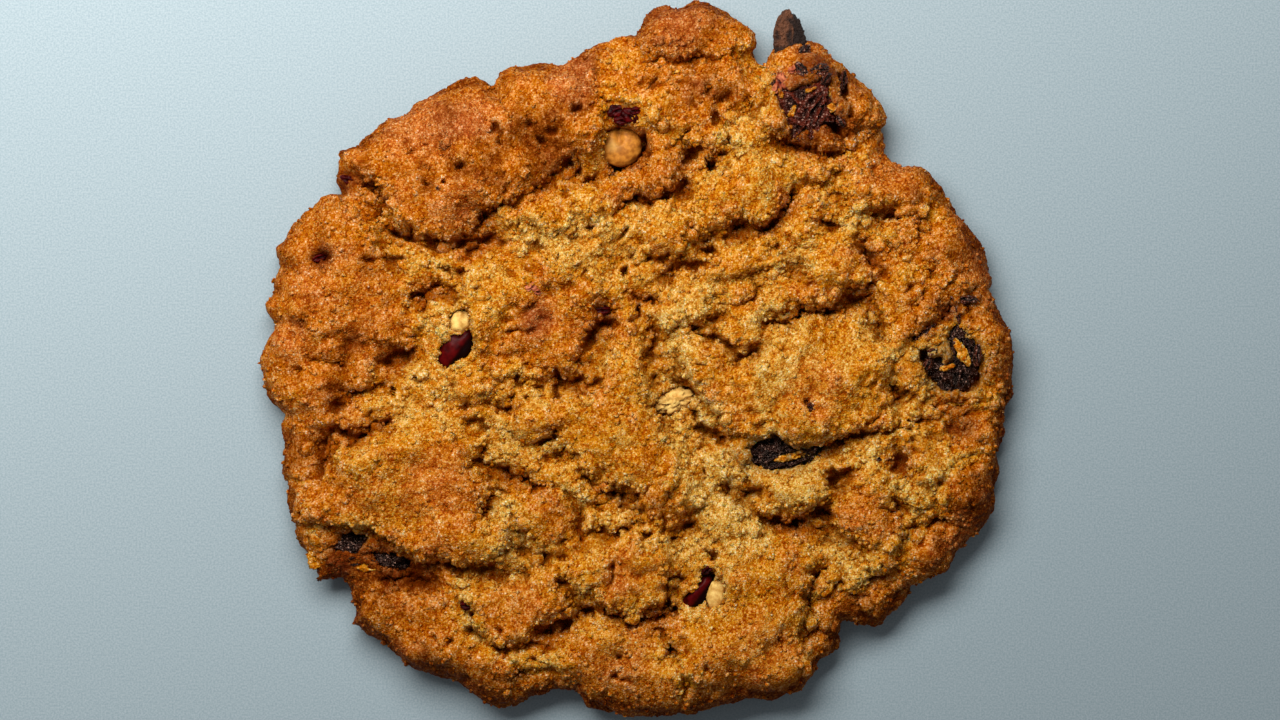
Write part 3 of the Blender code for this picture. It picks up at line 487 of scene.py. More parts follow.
# The small round pits: middle, half width and depth.
PITS = (
    (8.5, 23.4, 0.85, 4.2), (9.3, 28.9, 0.8, 2.6), (7.8, 32.4, 0.6, 1.6), (10.7, 26.3, 0.45, 2.0),
    (-7.6, 29.8, 0.6, 2.2), (-13.2, 28.4, 0.5, 1.4), (-12, 26.2, 0.6, 1.6), (-10.6, 27.4, 0.5, 1.2),
    (-17, 27.3, 0.6, 2.0), (-16.6, 26.2, 0.5, 1.2), (-21.4, 23, 0.7, 2.2), (-23.6, 21.3, 0.4, 1.4),
    (-38.3, 12.6, 0.9, 2.4), (-39.4, 11.4, 0.5, 1.4), (-32.4, 11.8, 0.6, 1.4), (-21.5, 10.7, 0.6, 2.4),
    (-22.9, 10.7, 0.5, 1.6), (-42.3, 2.9, 0.5, 1.6), (-26.8, -2.3, 0.5, 1.6), (-22.5, -3.2, 0.5, 1.0),
    (-5.9, 15.9, 0.6, 2.0), (-1.9, 10.4, 0.7, 2.4), (-2, 15.5, 0.4, 1.4), (10.2, 7.8, 0.4, 1.4),
    (1.3, 0.6, 0.6, 1.8), (1.8, -2.1, 0.45, 2.0), (5.3, -3, 0.5, 1.8), (-29.8, -3.8, 0.5, 1.6),
    (-15.4, -4.4, 0.5, 1.4), (-13.2, -4.4, 0.4, 1.4), (0.8, -20.8, 0.5, 1.8), (2.4, -21.8, 0.4, 1.0),
    (-12.2, 13.6, 0.9, 1.2), (-9.8, 12.2, 0.4, 1.4), (19.7, 37, 0.7, 1.6), (31.5, -22, 0.4, 1.4),
    (36, -9.8, 0.4, 1.2), (35, 10.4, 0.6, 1.4), (32.4, 8.6, 0.4, 1.2), (-2.8, -38, 0.5, 1.2),
    (7.9, -36.6, 0.5, 1.2), (-2.4, -35.6, 0.4, 1.2), (-22.8, -33.8, 0.5, 1.4), (-24.6, -33.6, 0.4, 1.4),
    (-21, -38, 0.5, 1.4), (-16.8, -32.6, 0.5, 1.2), (-20, -30.4, 0.5, 1.8), (1.8, 33.2, 0.35, 1.6),
    (28.4, 22.8, 0.6, 0.9), (23.8, 22, 0.5, 1.0), (12.6, 21.6, 0.3, 0.9), (40.4, -13, 0.5, 1.2),
    (39.8, 7, 0.5, 1.0), (43.4, 2.2, 0.5, 1.2), (31.0, -12.2, 1.3, 1.5), (23.4, -14.3, 1.1, 2.0),
    (24.7, -14.1, 0.8, 1.5), (13.5, -15.9, 0.8, 2.0), (10.4, -15.5, 0.5, 1.8), (21.2, -18.2, 1.0, 1.6),
    (16.4, -19.6, 0.9, 1.4), (8.9, -9.0, 1.0, 1.2), (21.6, -30.8, 0.4, 1.6), (22.6, -31.8, 0.4, 1.6),
)

# Patches painted browner or more golden, partly real browning and partly painted shade and painted light,
# and the humps and hollows that go with them: middle, radius, browning and rise.
SPOTS = (
    (-35.6, -22.8, 2.4, 1.1, -1.2), (-31, -24.2, 2.4, 1.0, -1.0), (-27.4, -25.8, 2.2, 0.9, -0.8),
    (-37, -26, 2.0, 1.0, -0.8), (36.4, 6, 2.2, 0.6, -0.4), (39.6, 6.8, 2.2, 0.8, -0.2),
    (33.4, 3.6, 1.8, 0.6, -0.4), (38, -4.4, 2.4, 0.4, -0.4), (24.2, 28, 1.8, 1.2, -1.4),
    (20, 27.6, 2.6, 0.6, -0.4), (18, 36.8, 2.6, 0.2, 0.3), (17, -1.6, 6.5, -0.55, 0.3),
    (-30, -15, 6.0, -0.42, 0.6), (5, 38.5, 6.0, 0.5, -0.3), (-31.5, -30.5, 3.6, -0.15, 0.4),
    (0.4, 24.6, 1.2, 0.8, -0.8), (-1.2, 23.4, 1.2, 0.8, -0.8), (15, -13.6, 3.0, 0.2, -0.2),
    (-35, 21.5, 2.4, 0.5, -0.6), (-32.5, 18.8, 2.2, 0.3, -0.5), (-12.5, 27.5, 3.2, 0.5, -0.7),
    (-9.5, 25, 2.6, 0.4, -0.6), (-21.5, 22.5, 1.8, 0.4, -0.3), (-7.5, 29.6, 1.4, 0.4, 0.0),
    (-3, 29.4, 2.2, 0.3, -0.2), (-20.5, 14, 2.6, 0.5, -0.5), (-12, 11, 1.6, 0.4, -0.2),
    (-12.6, 5.2, 2.8, 0.55, -0.7), (-8, 2.4, 2.2, 0.4, -0.5), (-4.2, 5.2, 2.4, 0.5, -0.6),
    (-38.4, 12.2, 2.0, 0.9, -0.4), (-32.6, 12, 1.8, 0.4, 0.0), (-25.4, 7.6, 2.0, 0.4, -0.4),
    (-34.6, 1.8, 2.8, 0.4, -0.7), (-30, 0.2, 2.0, 0.4, -0.5), (-41, 4.4, 1.4, 0.3, 0.0),
    (-38.6, -11, 2.6, 0.55, -0.9), (-35, -8.4, 2.0, 0.5, -0.4), (-36.4, -4.6, 2.4, 0.4, -0.5),
    (-30, -26.2, 3.6, 1.0, -0.9), (-35.6, -24.6, 2.8, 0.9, -0.8), (-25.4, -26, 3.0, 0.7, -0.6),
    (-24.4, -16.8, 1.8, 0.2, -0.3), (-24, -21.5, 4.5, 0.0, 0.8), (20, -7, 4.5, 0.0, 0.6),
    (29, -19, 4.2, 0.12, 0.0), (32.5, 13, 5.0, 0.25, 0.0), (-11, -32.6, 2.4, 0.5, -0.5),
    (-15, -38.6, 3.2, 0.35, -0.3), (-3, -38, 3.6, 0.25, 0.0), (10, -38.4, 4.4, 0.25, 0.0),
    (-25.6, -33.6, 2.4, 0.3, -0.4), (2, -31.4, 2.0, 0.4, 0.0), (25, -30.4, 3.0, 0.5, -0.5),
    (38.4, -8, 2.8, 0.6, -0.7), (39.4, -18.6, 3.4, 0.5, 0.0), (35.6, -24, 3.4, 0.4, 0.0),
    (30, -28.4, 2.6, 0.4, 0.0), (18.4, -20.2, 2.6, 0.6, -0.5), (31, -12.8, 2.0, 0.5, -1.0),
    (34, 8.4, 3.0, 0.4, 0.0), (38.4, 13, 3.6, 0.3, 0.0), (29, 12.8, 2.4, 0.4, -0.4),
    (26, 7.8, 2.6, 0.3, -1.0), (18, 18, 1.8, 0.3, -0.3), (27.4, 20, 2.4, 0.2, -0.4),
    (33, 20, 3.2, 0.3, 0.2), (27, 27.6, 2.4, 0.5, -0.3), (7, 31.8, 2.4, 0.4, -0.5),
    (11, 32.4, 2.0, 0.3, -0.3), (3.4, 21.8, 3.0, 0.4, -0.2), (0, 26.4, 2.2, 0.3, -0.3),
    (-22, 28, 3.4, 0.4, 0.7), (-8, 33, 3.0, 0.4, 0.6), (-31, -14.4, 3.4, 0.2, 0.4),
    (18, -3.4, 4.2, 0.2, 0.2), (2, -18.4, 2.6, 0.3, 0.3), (-17, 21, 3.2, 0.3, 0.3),
    (-18, 8, 4.6, -0.28, 0.8), (-24.6, 5, 2.4, -0.5, -0.2), (5.5, 1, 2.4, -0.35, 0.0),
    (7.6, -6.4, 2.6, -0.4, 0.0), (9.6, -12.6, 2.4, -0.4, 0.0), (4, -9.6, 2.2, -0.3, 0.0),
    (-26, 12, 3.2, -0.05, 0.2), (-13, 15.6, 3.6, -0.25, 0.1), (-6, 18.4, 2.8, -0.2, 0.0),
    (-8, 12.8, 3.2, -0.3, 0.2), (5, 6.6, 3.2, -0.3, 0.5), (3, 17, 2.8, -0.3, 0.2), (14, 22, 4.2, -0.2, 0.2),
    (20, 12, 2.4, -0.2, 0.2), (24, 16.4, 2.2, -0.2, 0.0), (-1.6, -1, 3.2, -0.2, 0.5),
    (-3, -10, 4.2, -0.2, 0.3), (-27, -7.6, 3.2, -0.4, 0.2), (-33, -11, 3.2, -0.3, 0.2),
    (-17, -22, 3.2, -0.4, 0.2), (-16, -8.6, 2.6, -0.2, 0.1), (-5, -25.4, 3.2, -0.1, 0.2),
    (13, -20.2, 3.6, -0.3, 0.2), (9.4, -17, 3.6, -0.35, 0.3), (4.4, -5, 2.6, -0.3, 0.0),
    (10.4, -24, 2.6, -0.4, 0.2), (14, -14.6, 2.4, -0.2, 0.0), (18, -15.4, 2.8, -0.2, 0.5),
    (33, -16.4, 2.8, 0.0, 0.3), (37, -12, 2.4, 0.0, 0.2), (27, -20.5, 4.6, 0.2, 0.5),
    (-9.7, -11, 3.0, -0.15, 0.1), (26, 2, 3.2, -0.3, 0.0), (11, -33, 4.2, -0.2, 0.3),
    (-10.4, -37, 2.2, -0.5, 0.0), (-40, -17, 3.2, -0.3, 0.0), (20, 36.6, 3.0, 0.2, 0.3),
)

# Where the fruit and nuts lie bare, the dough's skin drops away under them.
BARE = (
    ((33.6, 1.2), (33.8, -0.6), (34.8, -2.2), (36.4, -3.7), (39.6, -4), (41.3, -3), (41.4, -1), (41.2, 0.8),
        (40.7, 2.2), (39.5, 3.5), (38.3, 4.1), (37.6, 3.7), (37.2, 2.6), (37.5, 1.2), (37.6, -0.2),
        (36.6, -0.6), (36.2, 0.5), (35.2, 0.6), (34.6, 1.4)),
    ((15.5, 33.4), (16.3, 31.8), (17.0, 30), (17.8, 28.2), (19.4, 27.6), (21.0, 28.2), (22.6, 28.6),
        (23.4, 27.2), (24.2, 26.6), (24.3, 28.2), (23.2, 29.6), (22.6, 30.4), (22.4, 31.4), (22.9, 32.8),
        (21.2, 33.2), (19.8, 32.8), (18.9, 32.5), (18.0, 31.9), (17.2, 32.4), (16.6, 33.6)),
    ((23.6, 34), (24.6, 34.4), (25, 32), (24.6, 30.8), (24, 31.4)),
    ((12.9, -10.6), (14, -9.8), (15.6, -9.2), (17, -9), (17.2, -9.8), (18, -10.6), (20, -10.8), (22, -10.4),
        (21.4, -11.2), (19.6, -10.9), (17.4, -11.2), (16.4, -11.8), (17.4, -12.2), (19.4, -11.8),
        (20.2, -12), (18, -12.9), (16, -13.2), (14.4, -12.8), (13.2, -11.8)),
    ((-37.2, -22.6), (-36.4, -21.2), (-34.6, -20.7), (-33.0, -21.3), (-33.4, -22.4), (-34.0, -23.4),
        (-32, -23.4), (-30.4, -23.1), (-28.8, -23.5), (-27.6, -24.4), (-28.2, -25.1), (-30.6, -24.8),
        (-33, -24.5), (-34.8, -24.9), (-36.2, -25.2), (-37.3, -24.6)),
    ((-24, 1.5), (-23.2, 3), (-22.4, 3.2), (-21.5, 2.9), (-20.4, 3.8), (-20, 2.6), (-20, 1.5), (-20.8, 0.3),
        (-22, -0.3), (-23.4, -1.1), (-24.2, -0.2)),
    ((-22.8, 4), (-22.6, 5.4), (-21.4, 6), (-20.3, 5.4), (-20.3, 4.2), (-21.4, 3.2)),
    ((9, -26), (8.4, -25.4), (7.6, -26), (7.2, -27), (6, -27.8), (5.2, -29), (6.4, -29.8), (7.4, -29.6),
        (8, -28.4), (8.3, -27)),
    ((8.5, -26.8), (9.8, -26.4), (10.3, -27.4), (10.1, -29), (9.2, -29.9), (8.2, -29.6), (8, -28.2)),
    ((-4.6, 25.6), (-4, 27.4), (-2.4, 28), (-0.8, 27.6), (0.5, 26.6), (0.4, 24.8), (-0.8, 23.4),
        (-2.4, 22.9), (-3.6, 23.4), (-4.4, 24.6)),
    ((1.4, -5.6), (2.6, -4.2), (4, -3.5), (6, -3.2), (6.6, -4.2), (5.4, -5.6), (3.8, -6.6), (1.8, -6.5)),
)


def biscuit_reach(node, height):
    """The biscuit's outline as a function of bearing, cut from its solid at one height."""
    points = np.array([v.co for v in node.data.vertices]) / MM
    edges = np.array([e.vertices[:] for e in node.data.edges])
    low, high = points[edges[:, 0]], points[edges[:, 1]]
    cut = (low[:, 2] - height) * (high[:, 2] - height) < 0
    low, high = low[cut], high[cut]
    share = (height - low[:, 2:]) / (high[:, 2:] - low[:, 2:])
    ring = low + (high - low) * share
    bearing = np.arctan2(ring[:, 1], ring[:, 0])
    reach = np.hypot(ring[:, 0], ring[:, 1])
    order = np.argsort(bearing)
    return bearing[order], reach[order]


def smooth(value):
    """A smooth step: 0 up to 0, 1 from 1 on."""
    held = np.clip(value, 0.0, 1.0)
    return held * held * (3.0 - 2.0 * held)


LATTICE = 256


def lattice(x, y, apart, seed):
    """Smooth noise from about -1 to 1 on a lattice of slopes, `apart` millimetres between its points."""
    angle = np.random.default_rng(seed).uniform(0.0, math.tau, (LATTICE, LATTICE))
    fx, fy = x / apart, y / apart
    ix, iy = np.floor(fx).astype(int), np.floor(fy).astype(int)
    tx, ty = fx - ix, fy - iy

    def corner(step_x, step_y):
        turn = angle[(ix + step_x) % LATTICE, (iy + step_y) % LATTICE]
        return np.cos(turn) * (tx - step_x) + np.sin(turn) * (ty - step_y)

    wx, wy = smooth(tx), smooth(ty)
    low = corner(0, 0) * (1 - wx) + corner(1, 0) * wx
    high = corner(0, 1) * (1 - wx) + corner(1, 1) * wx
    return 1.5 * (low * (1 - wy) + high * wy)


def crumbs_field(x, y, apart, seed):
    """Rounded lumps side by side, 1 at a lump's top and 0 where lumps meet."""
    place = np.random.default_rng(seed).uniform(0.0, 1.0, (LATTICE, LATTICE, 2))
    fx, fy = x / apart, y / apart
    ix, iy = np.floor(fx).astype(int), np.floor(fy).astype(int)
    nearest = np.full(x.shape, 9.0)
    second = np.full(x.shape, 9.0)
    for step_x in (-1, 0, 1):
        for step_y in (-1, 0, 1):
            cx, cy = (ix + step_x) % LATTICE, (iy + step_y) % LATTICE
            dx = ix + step_x + place[cx, cy, 0] - fx
            dy = iy + step_y + place[cx, cy, 1] - fy
            away = np.hypot(dx, dy)
            closer = away < nearest
            second = np.where(closer, nearest, np.minimum(second, away))
            nearest = np.where(closer, away, nearest)
    return smooth((second - nearest) * 1.6)


def distance_to_line(x, y, ax, ay, bx, by):
    """How far a place is from the straight line between two points."""
    ex, ey = bx - ax, by - ay
    share = np.clip(((x - ax) * ex + (y - ay) * ey) / (ex * ex + ey * ey), 0.0, 1.0)
    return np.hypot(x - ax - share * ex, y - ay - share * ey)


def distance_inside(x, y, outline):
    """How far a place is inside an outline, in millimetres, and less than 0 outside it."""
    nearest = np.full(x.shape, 99.0)
    inside = np.zeros(x.shape, bool)
    for (ax, ay), (bx, by) in zip(outline, outline[1:] + outline[:1]):
        nearest = np.minimum(nearest, distance_to_line(x, y, ax, ay, bx, by))
        if ay != by:
            inside ^= ((ay > y) != (by > y)) & (x < (bx - ax) * (y - ay) / (by - ay) + ax)
    return np.where(inside, nearest, -nearest)


def near(x, y, points, margin):
    """Which places lie in the box round some points, grown by a margin."""
    xs, ys = [p[0] for p in points], [p[1] for p in points]
    across = (x > min(xs) - margin) & (x < max(xs) + margin)
    return across & (y > min(ys) - margin) & (y < max(ys) + margin)


def cake_height(from_middle, reach):
    """The plain cake's top, without plates or tears: a little higher in the middle than at its shoulder."""
    return SHOULDER_HEIGHT + (MIDDLE_HEIGHT - SHOULDER_HEIGHT) * (1.0 - (from_middle / reach) ** 2)


def facing(points):
    """The outward direction at each crossing of a net of points."""
    out = np.cross(np.gradient(points, axis=1), np.gradient(points, axis=0))
    return out / np.maximum(np.linalg.norm(out, axis=2, keepdims=True), TINY)


# The net: rings of squares drawn out to the biscuit's outline, over its top and down round its edge.
steps = np.linspace(-1.0, 1.0, NET + 1)
across, up = np.meshgrid(steps, steps)
wide = np.abs(across) >= np.abs(up)
safe_across = np.where(across == 0, TINY, across)
safe_up = np.where(up == 0, TINY, up)
share = np.where(wide, across, up)
bearing = np.where(wide, (math.pi / 4) * up / safe_across, math.pi / 2 - (math.pi / 4) * across / safe_up)
bearing = np.where(share < 0, bearing + math.pi, bearing)
bearing = (bearing + math.pi) % math.tau - math.pi
share = np.abs(share)
ring_bearing, ring_reach = biscuit_reach(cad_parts["biscuit"], OUTLINE_HEIGHT)
reach = np.interp(bearing, ring_bearing, ring_reach, period=math.tau)

# Lobes of the rim that spread a little further: place, reach and width.
RIM_LOBES = (
    (42.4, -9.2, 0.9, 1.6), (41.0, -11.0, 1.5, 1.6), (41.6, -18.4, 0.9, 2.0), (39.4, -20.6, 1.2, 2.0),
    (36.4, -24.2, 0.8, 2.4), (-35.8, -25.6, 1.2, 1.4), (-41.0, -19.6, 0.6, 2.0), (-34.2, -28.4, 0.7, 1.6),
)
for px, py, further, width in RIM_LOBES:
    lobe_reach = math.hypot(px, py)
    from_lobe = np.hypot(lobe_reach * np.cos(bearing) - px, lobe_reach * np.sin(bearing) - py)
    reach = reach + further * np.exp(-(from_lobe / width) ** 2)

shoulder = reach - EDGE_ROUND
turned = np.clip((share - TOP_SHARE) / (1.0 - TOP_SHARE), 0.0, 1.0)
angle = np.clip(turned / WALL_SHARE, 0.0, 1.0) * math.radians(90.0)
under = smooth((turned - WALL_SHARE) / (1.0 - WALL_SHARE))
from_middle = np.where(share < TOP_SHARE, shoulder * share / TOP_SHARE, shoulder + EDGE_ROUND * np.sin(angle))
from_middle = from_middle - UNDERCUT * under
cake = cake_height(from_middle, reach)
wall = LIP_HEIGHT + (cake - LIP_HEIGHT) * np.cos(angle)
level = np.where(turned < WALL_SHARE, wall, LIP_HEIGHT * (1.0 - under))
base = np.dstack((from_middle * np.cos(bearing), from_middle * np.sin(bearing), level))
outward = facing(base)


def skin_fields(x, y):
    """Ragged places, and what the skin does there: plate height, bake with painted shade, depth inside a
    plate and tears.
    """
    ragged_x = x + 0.50 * lattice(x, y, 2.1, 11) + 0.34 * lattice(x, y, 0.8, 12)
    ragged_y = y + 0.50 * lattice(x, y, 2.1, 13) + 0.34 * lattice(x, y, 0.8, 14)
    plate, bake, depth_in = np.zeros(x.shape), np.full(x.shape, CRUMB_BAKE), np.full(x.shape, -3.0)
    sag = np.zeros(x.shape)
    for rise, brown, outline in PLATES:
        here = near(x, y, outline, 4.0)
        inside = distance_inside(ragged_x[here], ragged_y[here], outline)
        from_north = distance_inside(ragged_x[here], ragged_y[here] + 1.3, outline)
        step = smooth((inside + 0.25) / 0.75) * (0.35 + 0.65 * smooth((from_north + 1.2) / 2.4))
        height = rise * (0.6 * step + 0.4 * smooth((inside + 2.0) / 6.0))
        higher = height > plate[here]
        baked = CRUMB_BAKE + (brown - CRUMB_BAKE) * smooth((inside + 0.4) / 2.2)
        bake[here] = np.where(higher, baked, bake[here])
        plate[here] = np.maximum(plate[here], height)
        depth_in[here] = np.maximum(depth_in[here], inside)
    torn = np.zeros(x.shape)
    for half_width, depth, run in TEARS:
        here = near(x, y, run, 4.5)
        away = np.full(int(here.sum()), 99.0)
        for (ax, ay), (bx, by) in zip(run, run[1:]):
            away = np.minimum(away, distance_to_line(ragged_x[here], ragged_y[here], ax, ay, bx, by))
        half = 0.78 * half_width * (1.0 + 0.7 * lattice(x[here], y[here], 1.2, 15))
        deep = depth * (0.46 + 0.8 * lattice(x[here], y[here], 1.8, 16))
        torn[here] = np.maximum(torn[here], deep * (1.0 - smooth((away - 0.3 * half) / (1.2 * half))))
        sag[here] = np.maximum(sag[here], depth * (1.0 - smooth(away / (1.2 + 2.4 * half_width))))
    # The spots' browning is partly real and partly painted shade and light.
    for px, py, radius, brown, rise in SPOTS:
        here = near(x, y, ((px, py),), 2.0 * radius)
        share = np.exp(-1.2 * ((ragged_x[here] - px) ** 2 + (ragged_y[here] - py) ** 2) / radius ** 2)
        bake[here] += brown * share
        plate[here] += 0.7 * rise * share
    for px, py, half_width, depth in PITS:
        here = near(x, y, ((px, py),), 2.5)
        away = np.hypot(ragged_x[here] - px, ragged_y[here] - py)
        pit = depth * (1.0 - smooth((away - 0.3 * half_width) / (1.2 * half_width)))
        torn[here] = np.maximum(torn[here], pit)
    # Painted shade: the skin beside the tears is browner.
    return ragged_x, ragged_y, plate - 0.22 * sag, bake + 0.14 * sag, depth_in, torn


def bareness(x, y):
    """1 where fruit or nut lies bare and 0 under the dough's skin."""
    ragged_x = x + 0.25 * lattice(x, y, 1.3, 17)
    ragged_y = y + 0.25 * lattice(x, y, 1.3, 18)
    bare = np.zeros(x.shape)
    for outline in BARE:
        here = near(x, y, outline, 1.5)
        inside = distance_inside(ragged_x[here], ragged_y[here], outline)
        bare[here] = np.maximum(bare[here], smooth((inside + 0.3) / 0.5))
    return bare


# Where juice from the fruit stained the dough: middle, radius and strength.
STAINS = (
    (16.6, 32.6, 1.8, 0.6), (20.8, 34.8, 2.5, 1.0), (22.6, 33.8, 1.9, 0.95), (24.2, 33.0, 1.3, 0.8),
    (19.0, 33.4, 1.6, 0.9), (19.6, 36.6, 1.2, 0.5), (19.6, 28.0, 2.4, 0.75), (17.2, 30.6, 1.3, 0.8),
    (-2.1, 29.2, 1.9, 0.9), (37.2, 5.8, 1.9, 0.75), (34.6, 3.6, 1.4, 0.45), (38.8, -8.0, 2.2, 0.65),
    (-35.0, 21.6, 1.7, 0.7), (-38.4, 12.4, 1.5, 0.7), (-31.6, -22.8, 2.2, 0.6), (-30.0, -26.0, 1.8, 0.5),
    (-12.6, 4.6, 2.4, 0.35), (-4.4, 5.8, 1.3, 0.7), (34.2, -0.4, 1.5, 0.6), (39.4, 7.6, 1.8, 0.5),
    (31.0, -12.2, 1.7, 0.35), (-36.2, -24.6, 2.0, 0.9), (20.5, 31.5, 4.0, 0.4), (38.5, -5.8, 2.6, 0.3),
)

# Where the crust took a rosy brown from the oven: middle, radius and strength.
BLUSHES = (
    (17.3, 33.7, 1.7, 1.0), (36.8, 6.2, 1.4, 0.8), (-26.0, 27.6, 4.6, 0.8), (-20.0, 28.8, 3.4, 0.9),
    (-8.0, 33.4, 3.6, 0.8), (4.5, 39.6, 3.8, 0.7), (20.5, -3.2, 4.6, 0.45), (11.5, -5.5, 3.0, 0.3),
    (-25.0, -14.8, 5.4, 0.5), (-34.0, 6.0, 5.0, 0.25), (-39.0, 9.0, 4.0, 0.4), (-41.5, 2.0, 3.0, 0.5),
    (-12.0, 5.0, 2.6, 0.8), (-22.0, 18.4, 3.6, 0.5), (15.0, -34.0, 4.6, 0.4), (-2.0, -35.6, 4.0, 0.4),
    (-14.6, -28.6, 3.0, 0.4), (-2.5, -25.4, 3.4, 0.3), (38.4, -21.0, 3.0, 0.3), (40.5, 10.0, 3.4, 0.4),
    (30.0, 23.0, 3.6, 0.4), (20.6, 38.0, 2.6, 0.4), (-33.0, -17.0, 3.6, 0.3),
)


def spread(x, y, places):
    """How strongly a list of soft round places covers each point, from 0 to 1."""
    total = np.zeros(x.shape)
    for px, py, radius, strength in places:
        away = np.hypot(x - px, y - py) + 0.5 * lattice(x, y, 1.3, 33)
        away = away + 0.15 * radius * lattice(x, y, 3.0, 36)
        total = np.maximum(total, strength * (1.0 - smooth((away - 0.4 * radius) / (0.8 * radius))))
    return total


def skin_relief(x, y):
    """How far the skin stands off the plain cake in millimetres, its tears, its bake with painted shade and
    its crumbliness.
    """
    ragged_x, ragged_y, plate, bake, depth_in, torn = skin_fields(x, y)
    crumbly = 1.0 - smooth((depth_in - 0.3) / 2.2)
    rough = 0.5 + 0.9 * lattice(x, y, 5.0, 19)
    crumbly = np.clip(crumbly + 0.35 * rough, 0.0, 1.0)
    big = crumbs_field(ragged_x, ragged_y, 2.3, 21)
    middling = crumbs_field(ragged_x, ragged_y, 1.15, 22)
    rolling = 1.15 * lattice(x, y, 8.0, 23) + 1.1 * lattice(x + 0.4 * y, y - 0.4 * x, 4.6, 27)
    rolling = rolling + 0.28 * lattice(x, y, 1.9, 25)
    relief = PLATE_STRENGTH * plate - SKIN_DROP + rolling
    relief = relief + big * (0.12 + 0.2 * crumbly) + middling * (0.04 + 0.12 * crumbly)
    lump = crumbs_field(ragged_x + 0.8 * lattice(x, y, 2.6, 34), ragged_y, 3.1, 29)
    cracked = smooth((lattice(x, y, 5.0, 30) + 0.1) / 0.5) * smooth((lattice(x, y, 1.9, 35) + 0.1) / 0.4)
    torn = np.maximum(torn, (0.5 + 0.6 * crumbly) * cracked * (1.0 - smooth(lump / 0.3)))
    return relief, torn, bake, crumbly


x, y = base[..., 0], base[..., 1]
relief, torn, bake, crumbly = skin_relief(x, y)
bare = bareness(x, y)
on_top = 1.0 - smooth((turned - 0.12) / 0.5)
relief = relief * (0.25 + 0.75 * on_top) - torn * (0.15 + 0.85 * on_top)
relief = relief * (1.0 - under)
body = base + outward * relief[..., None]
unbroken = body.copy()
body[..., 2] -= BARE_DROP * bare * (1.0 - under)


def dough_level(x, y):
    """The height in millimetres of the dough's skin round a place, as if nothing lay bare."""
    away = np.hypot(unbroken[..., 0] - x, unbroken[..., 1] - y) + 9.0 * under
    return float(unbroken[away < max(0.8, away.min() + 0.3), 2].mean())


# Fine lumps push the walls out sideways too, so that edges overhang.
outward = facing(body)
x, y, z = body[..., 0], body[..., 1], body[..., 2]
small = crumbs_field(x + z * 0.7, y - z * 0.6, 0.66, 31)
fine = 0.6 * lattice(x + z, y + z * 0.8, 0.85, 32)
swell = small * (0.1 + 0.09 * crumbly) + fine * (0.14 + 0.1 * crumbly)
swell = swell + 0.75 * lattice(x + 1.4 * z, y - 1.2 * z, 2.6, 37) * smooth((turned - 0.35) / 0.3)
body = body + outward * (swell * (1.0 - smooth((under - 0.5) / 0.5)) * (1.0 - bare))[..., None]
body[..., 2] = np.maximum(body[..., 2], cad_low.z / MM)


def blur(values, squares, passes=3):
    """Values on the net, each smoothed by those up to this many squares away."""
    for _ in range(passes):
        for axis in (0, 1):
            margins = [(squares, squares) if a == axis else (0, 0) for a in (0, 1)]
            total = np.cumsum(np.insert(np.pad(values, margins, mode="edge"), 0, 0.0, axis=axis), axis=axis)
            size, window = values.shape[axis], 2 * squares + 1
            later = np.take(total, range(window, size + window), axis=axis)
            values = (later - np.take(total, range(size), axis=axis)) / window
    return values


# Juice from the four raisins stained the dough round them: middle and reach.
JUICY = ((20.0, 31.5, 7.5), (38.0, 2.0, 7.5), (-32.8, -23.3, 7.0), (17.0, -11.0, 5.5))
near_fruit = np.zeros(x.shape)
for px, py, reach_out in JUICY:
    near_fruit = np.maximum(near_fruit, np.hypot(x - px, y - py) < reach_out)

# How far each point of the skin stands above its surroundings: 1, 4 and 14 squares of the net away.
stand_near, stand_out, stand_far = (body[..., 2] - blur(body[..., 2], squares) for squares in (1, 4, 14))

bpy.ops.mesh.primitive_grid_add(x_subdivisions=NET, y_subdivisions=NET, size=2.0)
dough = bpy.context.object
dough.name = "biscuit_dough"
dough.data.vertices.foreach_set("co", (body * MM).reshape(-1))
bpy.ops.object.mode_set(mode="EDIT")
bpy.ops.mesh.select_all(action="DESELECT")
bpy.ops.mesh.select_mode(type="EDGE")
bpy.ops.mesh.select_non_manifold()
bpy.ops.mesh.edge_face_add()
bpy.ops.object.mode_set(mode="OBJECT")
bpy.ops.object.shade_smooth()


def keep(mesh, **numbers):
    """Stores numbers for each point of a mesh, for its material to read."""
    for name, values in numbers.items():
        values = np.asarray(values, np.float32).reshape(-1)
        mesh.attributes.new(name, "FLOAT", "POINT").data.foreach_set("value", values)


# The rim browned most, and painted shade darkens it and the edge of the top further along its lower right,
# away from the lamp.
rim_brown = smooth((turned - 0.34) / 0.3)
painted_shade_lower_right = smooth((25.0 + 0.5 * x - y) / 55.0)
bake = bake + (0.05 + 0.35 * painted_shade_lower_right) * smooth(turned / 0.4)
bake = np.clip(bake + (0.25 + 0.75 * painted_shade_lower_right) * rim_brown, 0.0, 1.5)
crumbly = crumbly * (1.0 - rim_brown)
keep(dough.data, bake=bake, stand_near=stand_near, stand_out=stand_out, stand_far=stand_far)
stain = 0.7 * np.clip(2.2 * blur(bare * near_fruit, 4), 0.0, 1.0)
stain = np.maximum(stain, spread(body[..., 0], body[..., 1], STAINS))
blush = spread(body[..., 0], body[..., 1], BLUSHES)
keep(dough.data, own=np.full(bake.shape, 0.5), stain=stain, blush=blush)


def attribute(places, name):
    """One of the numbers kept for each point of a mesh."""
    return places.node("Attribute", {"attribute_name": name}, {}, 2)


def cells(places, apart):
    """Cells `apart` millimetres across: how far a place is from its cell's middle, and each cell's share."""
    sockets = {"Vector": places, "Scale": 1.0 / apart}
    return places.node("TexVoronoi", {}, sockets), places.node("TexVoronoi", {}, sockets, 1)
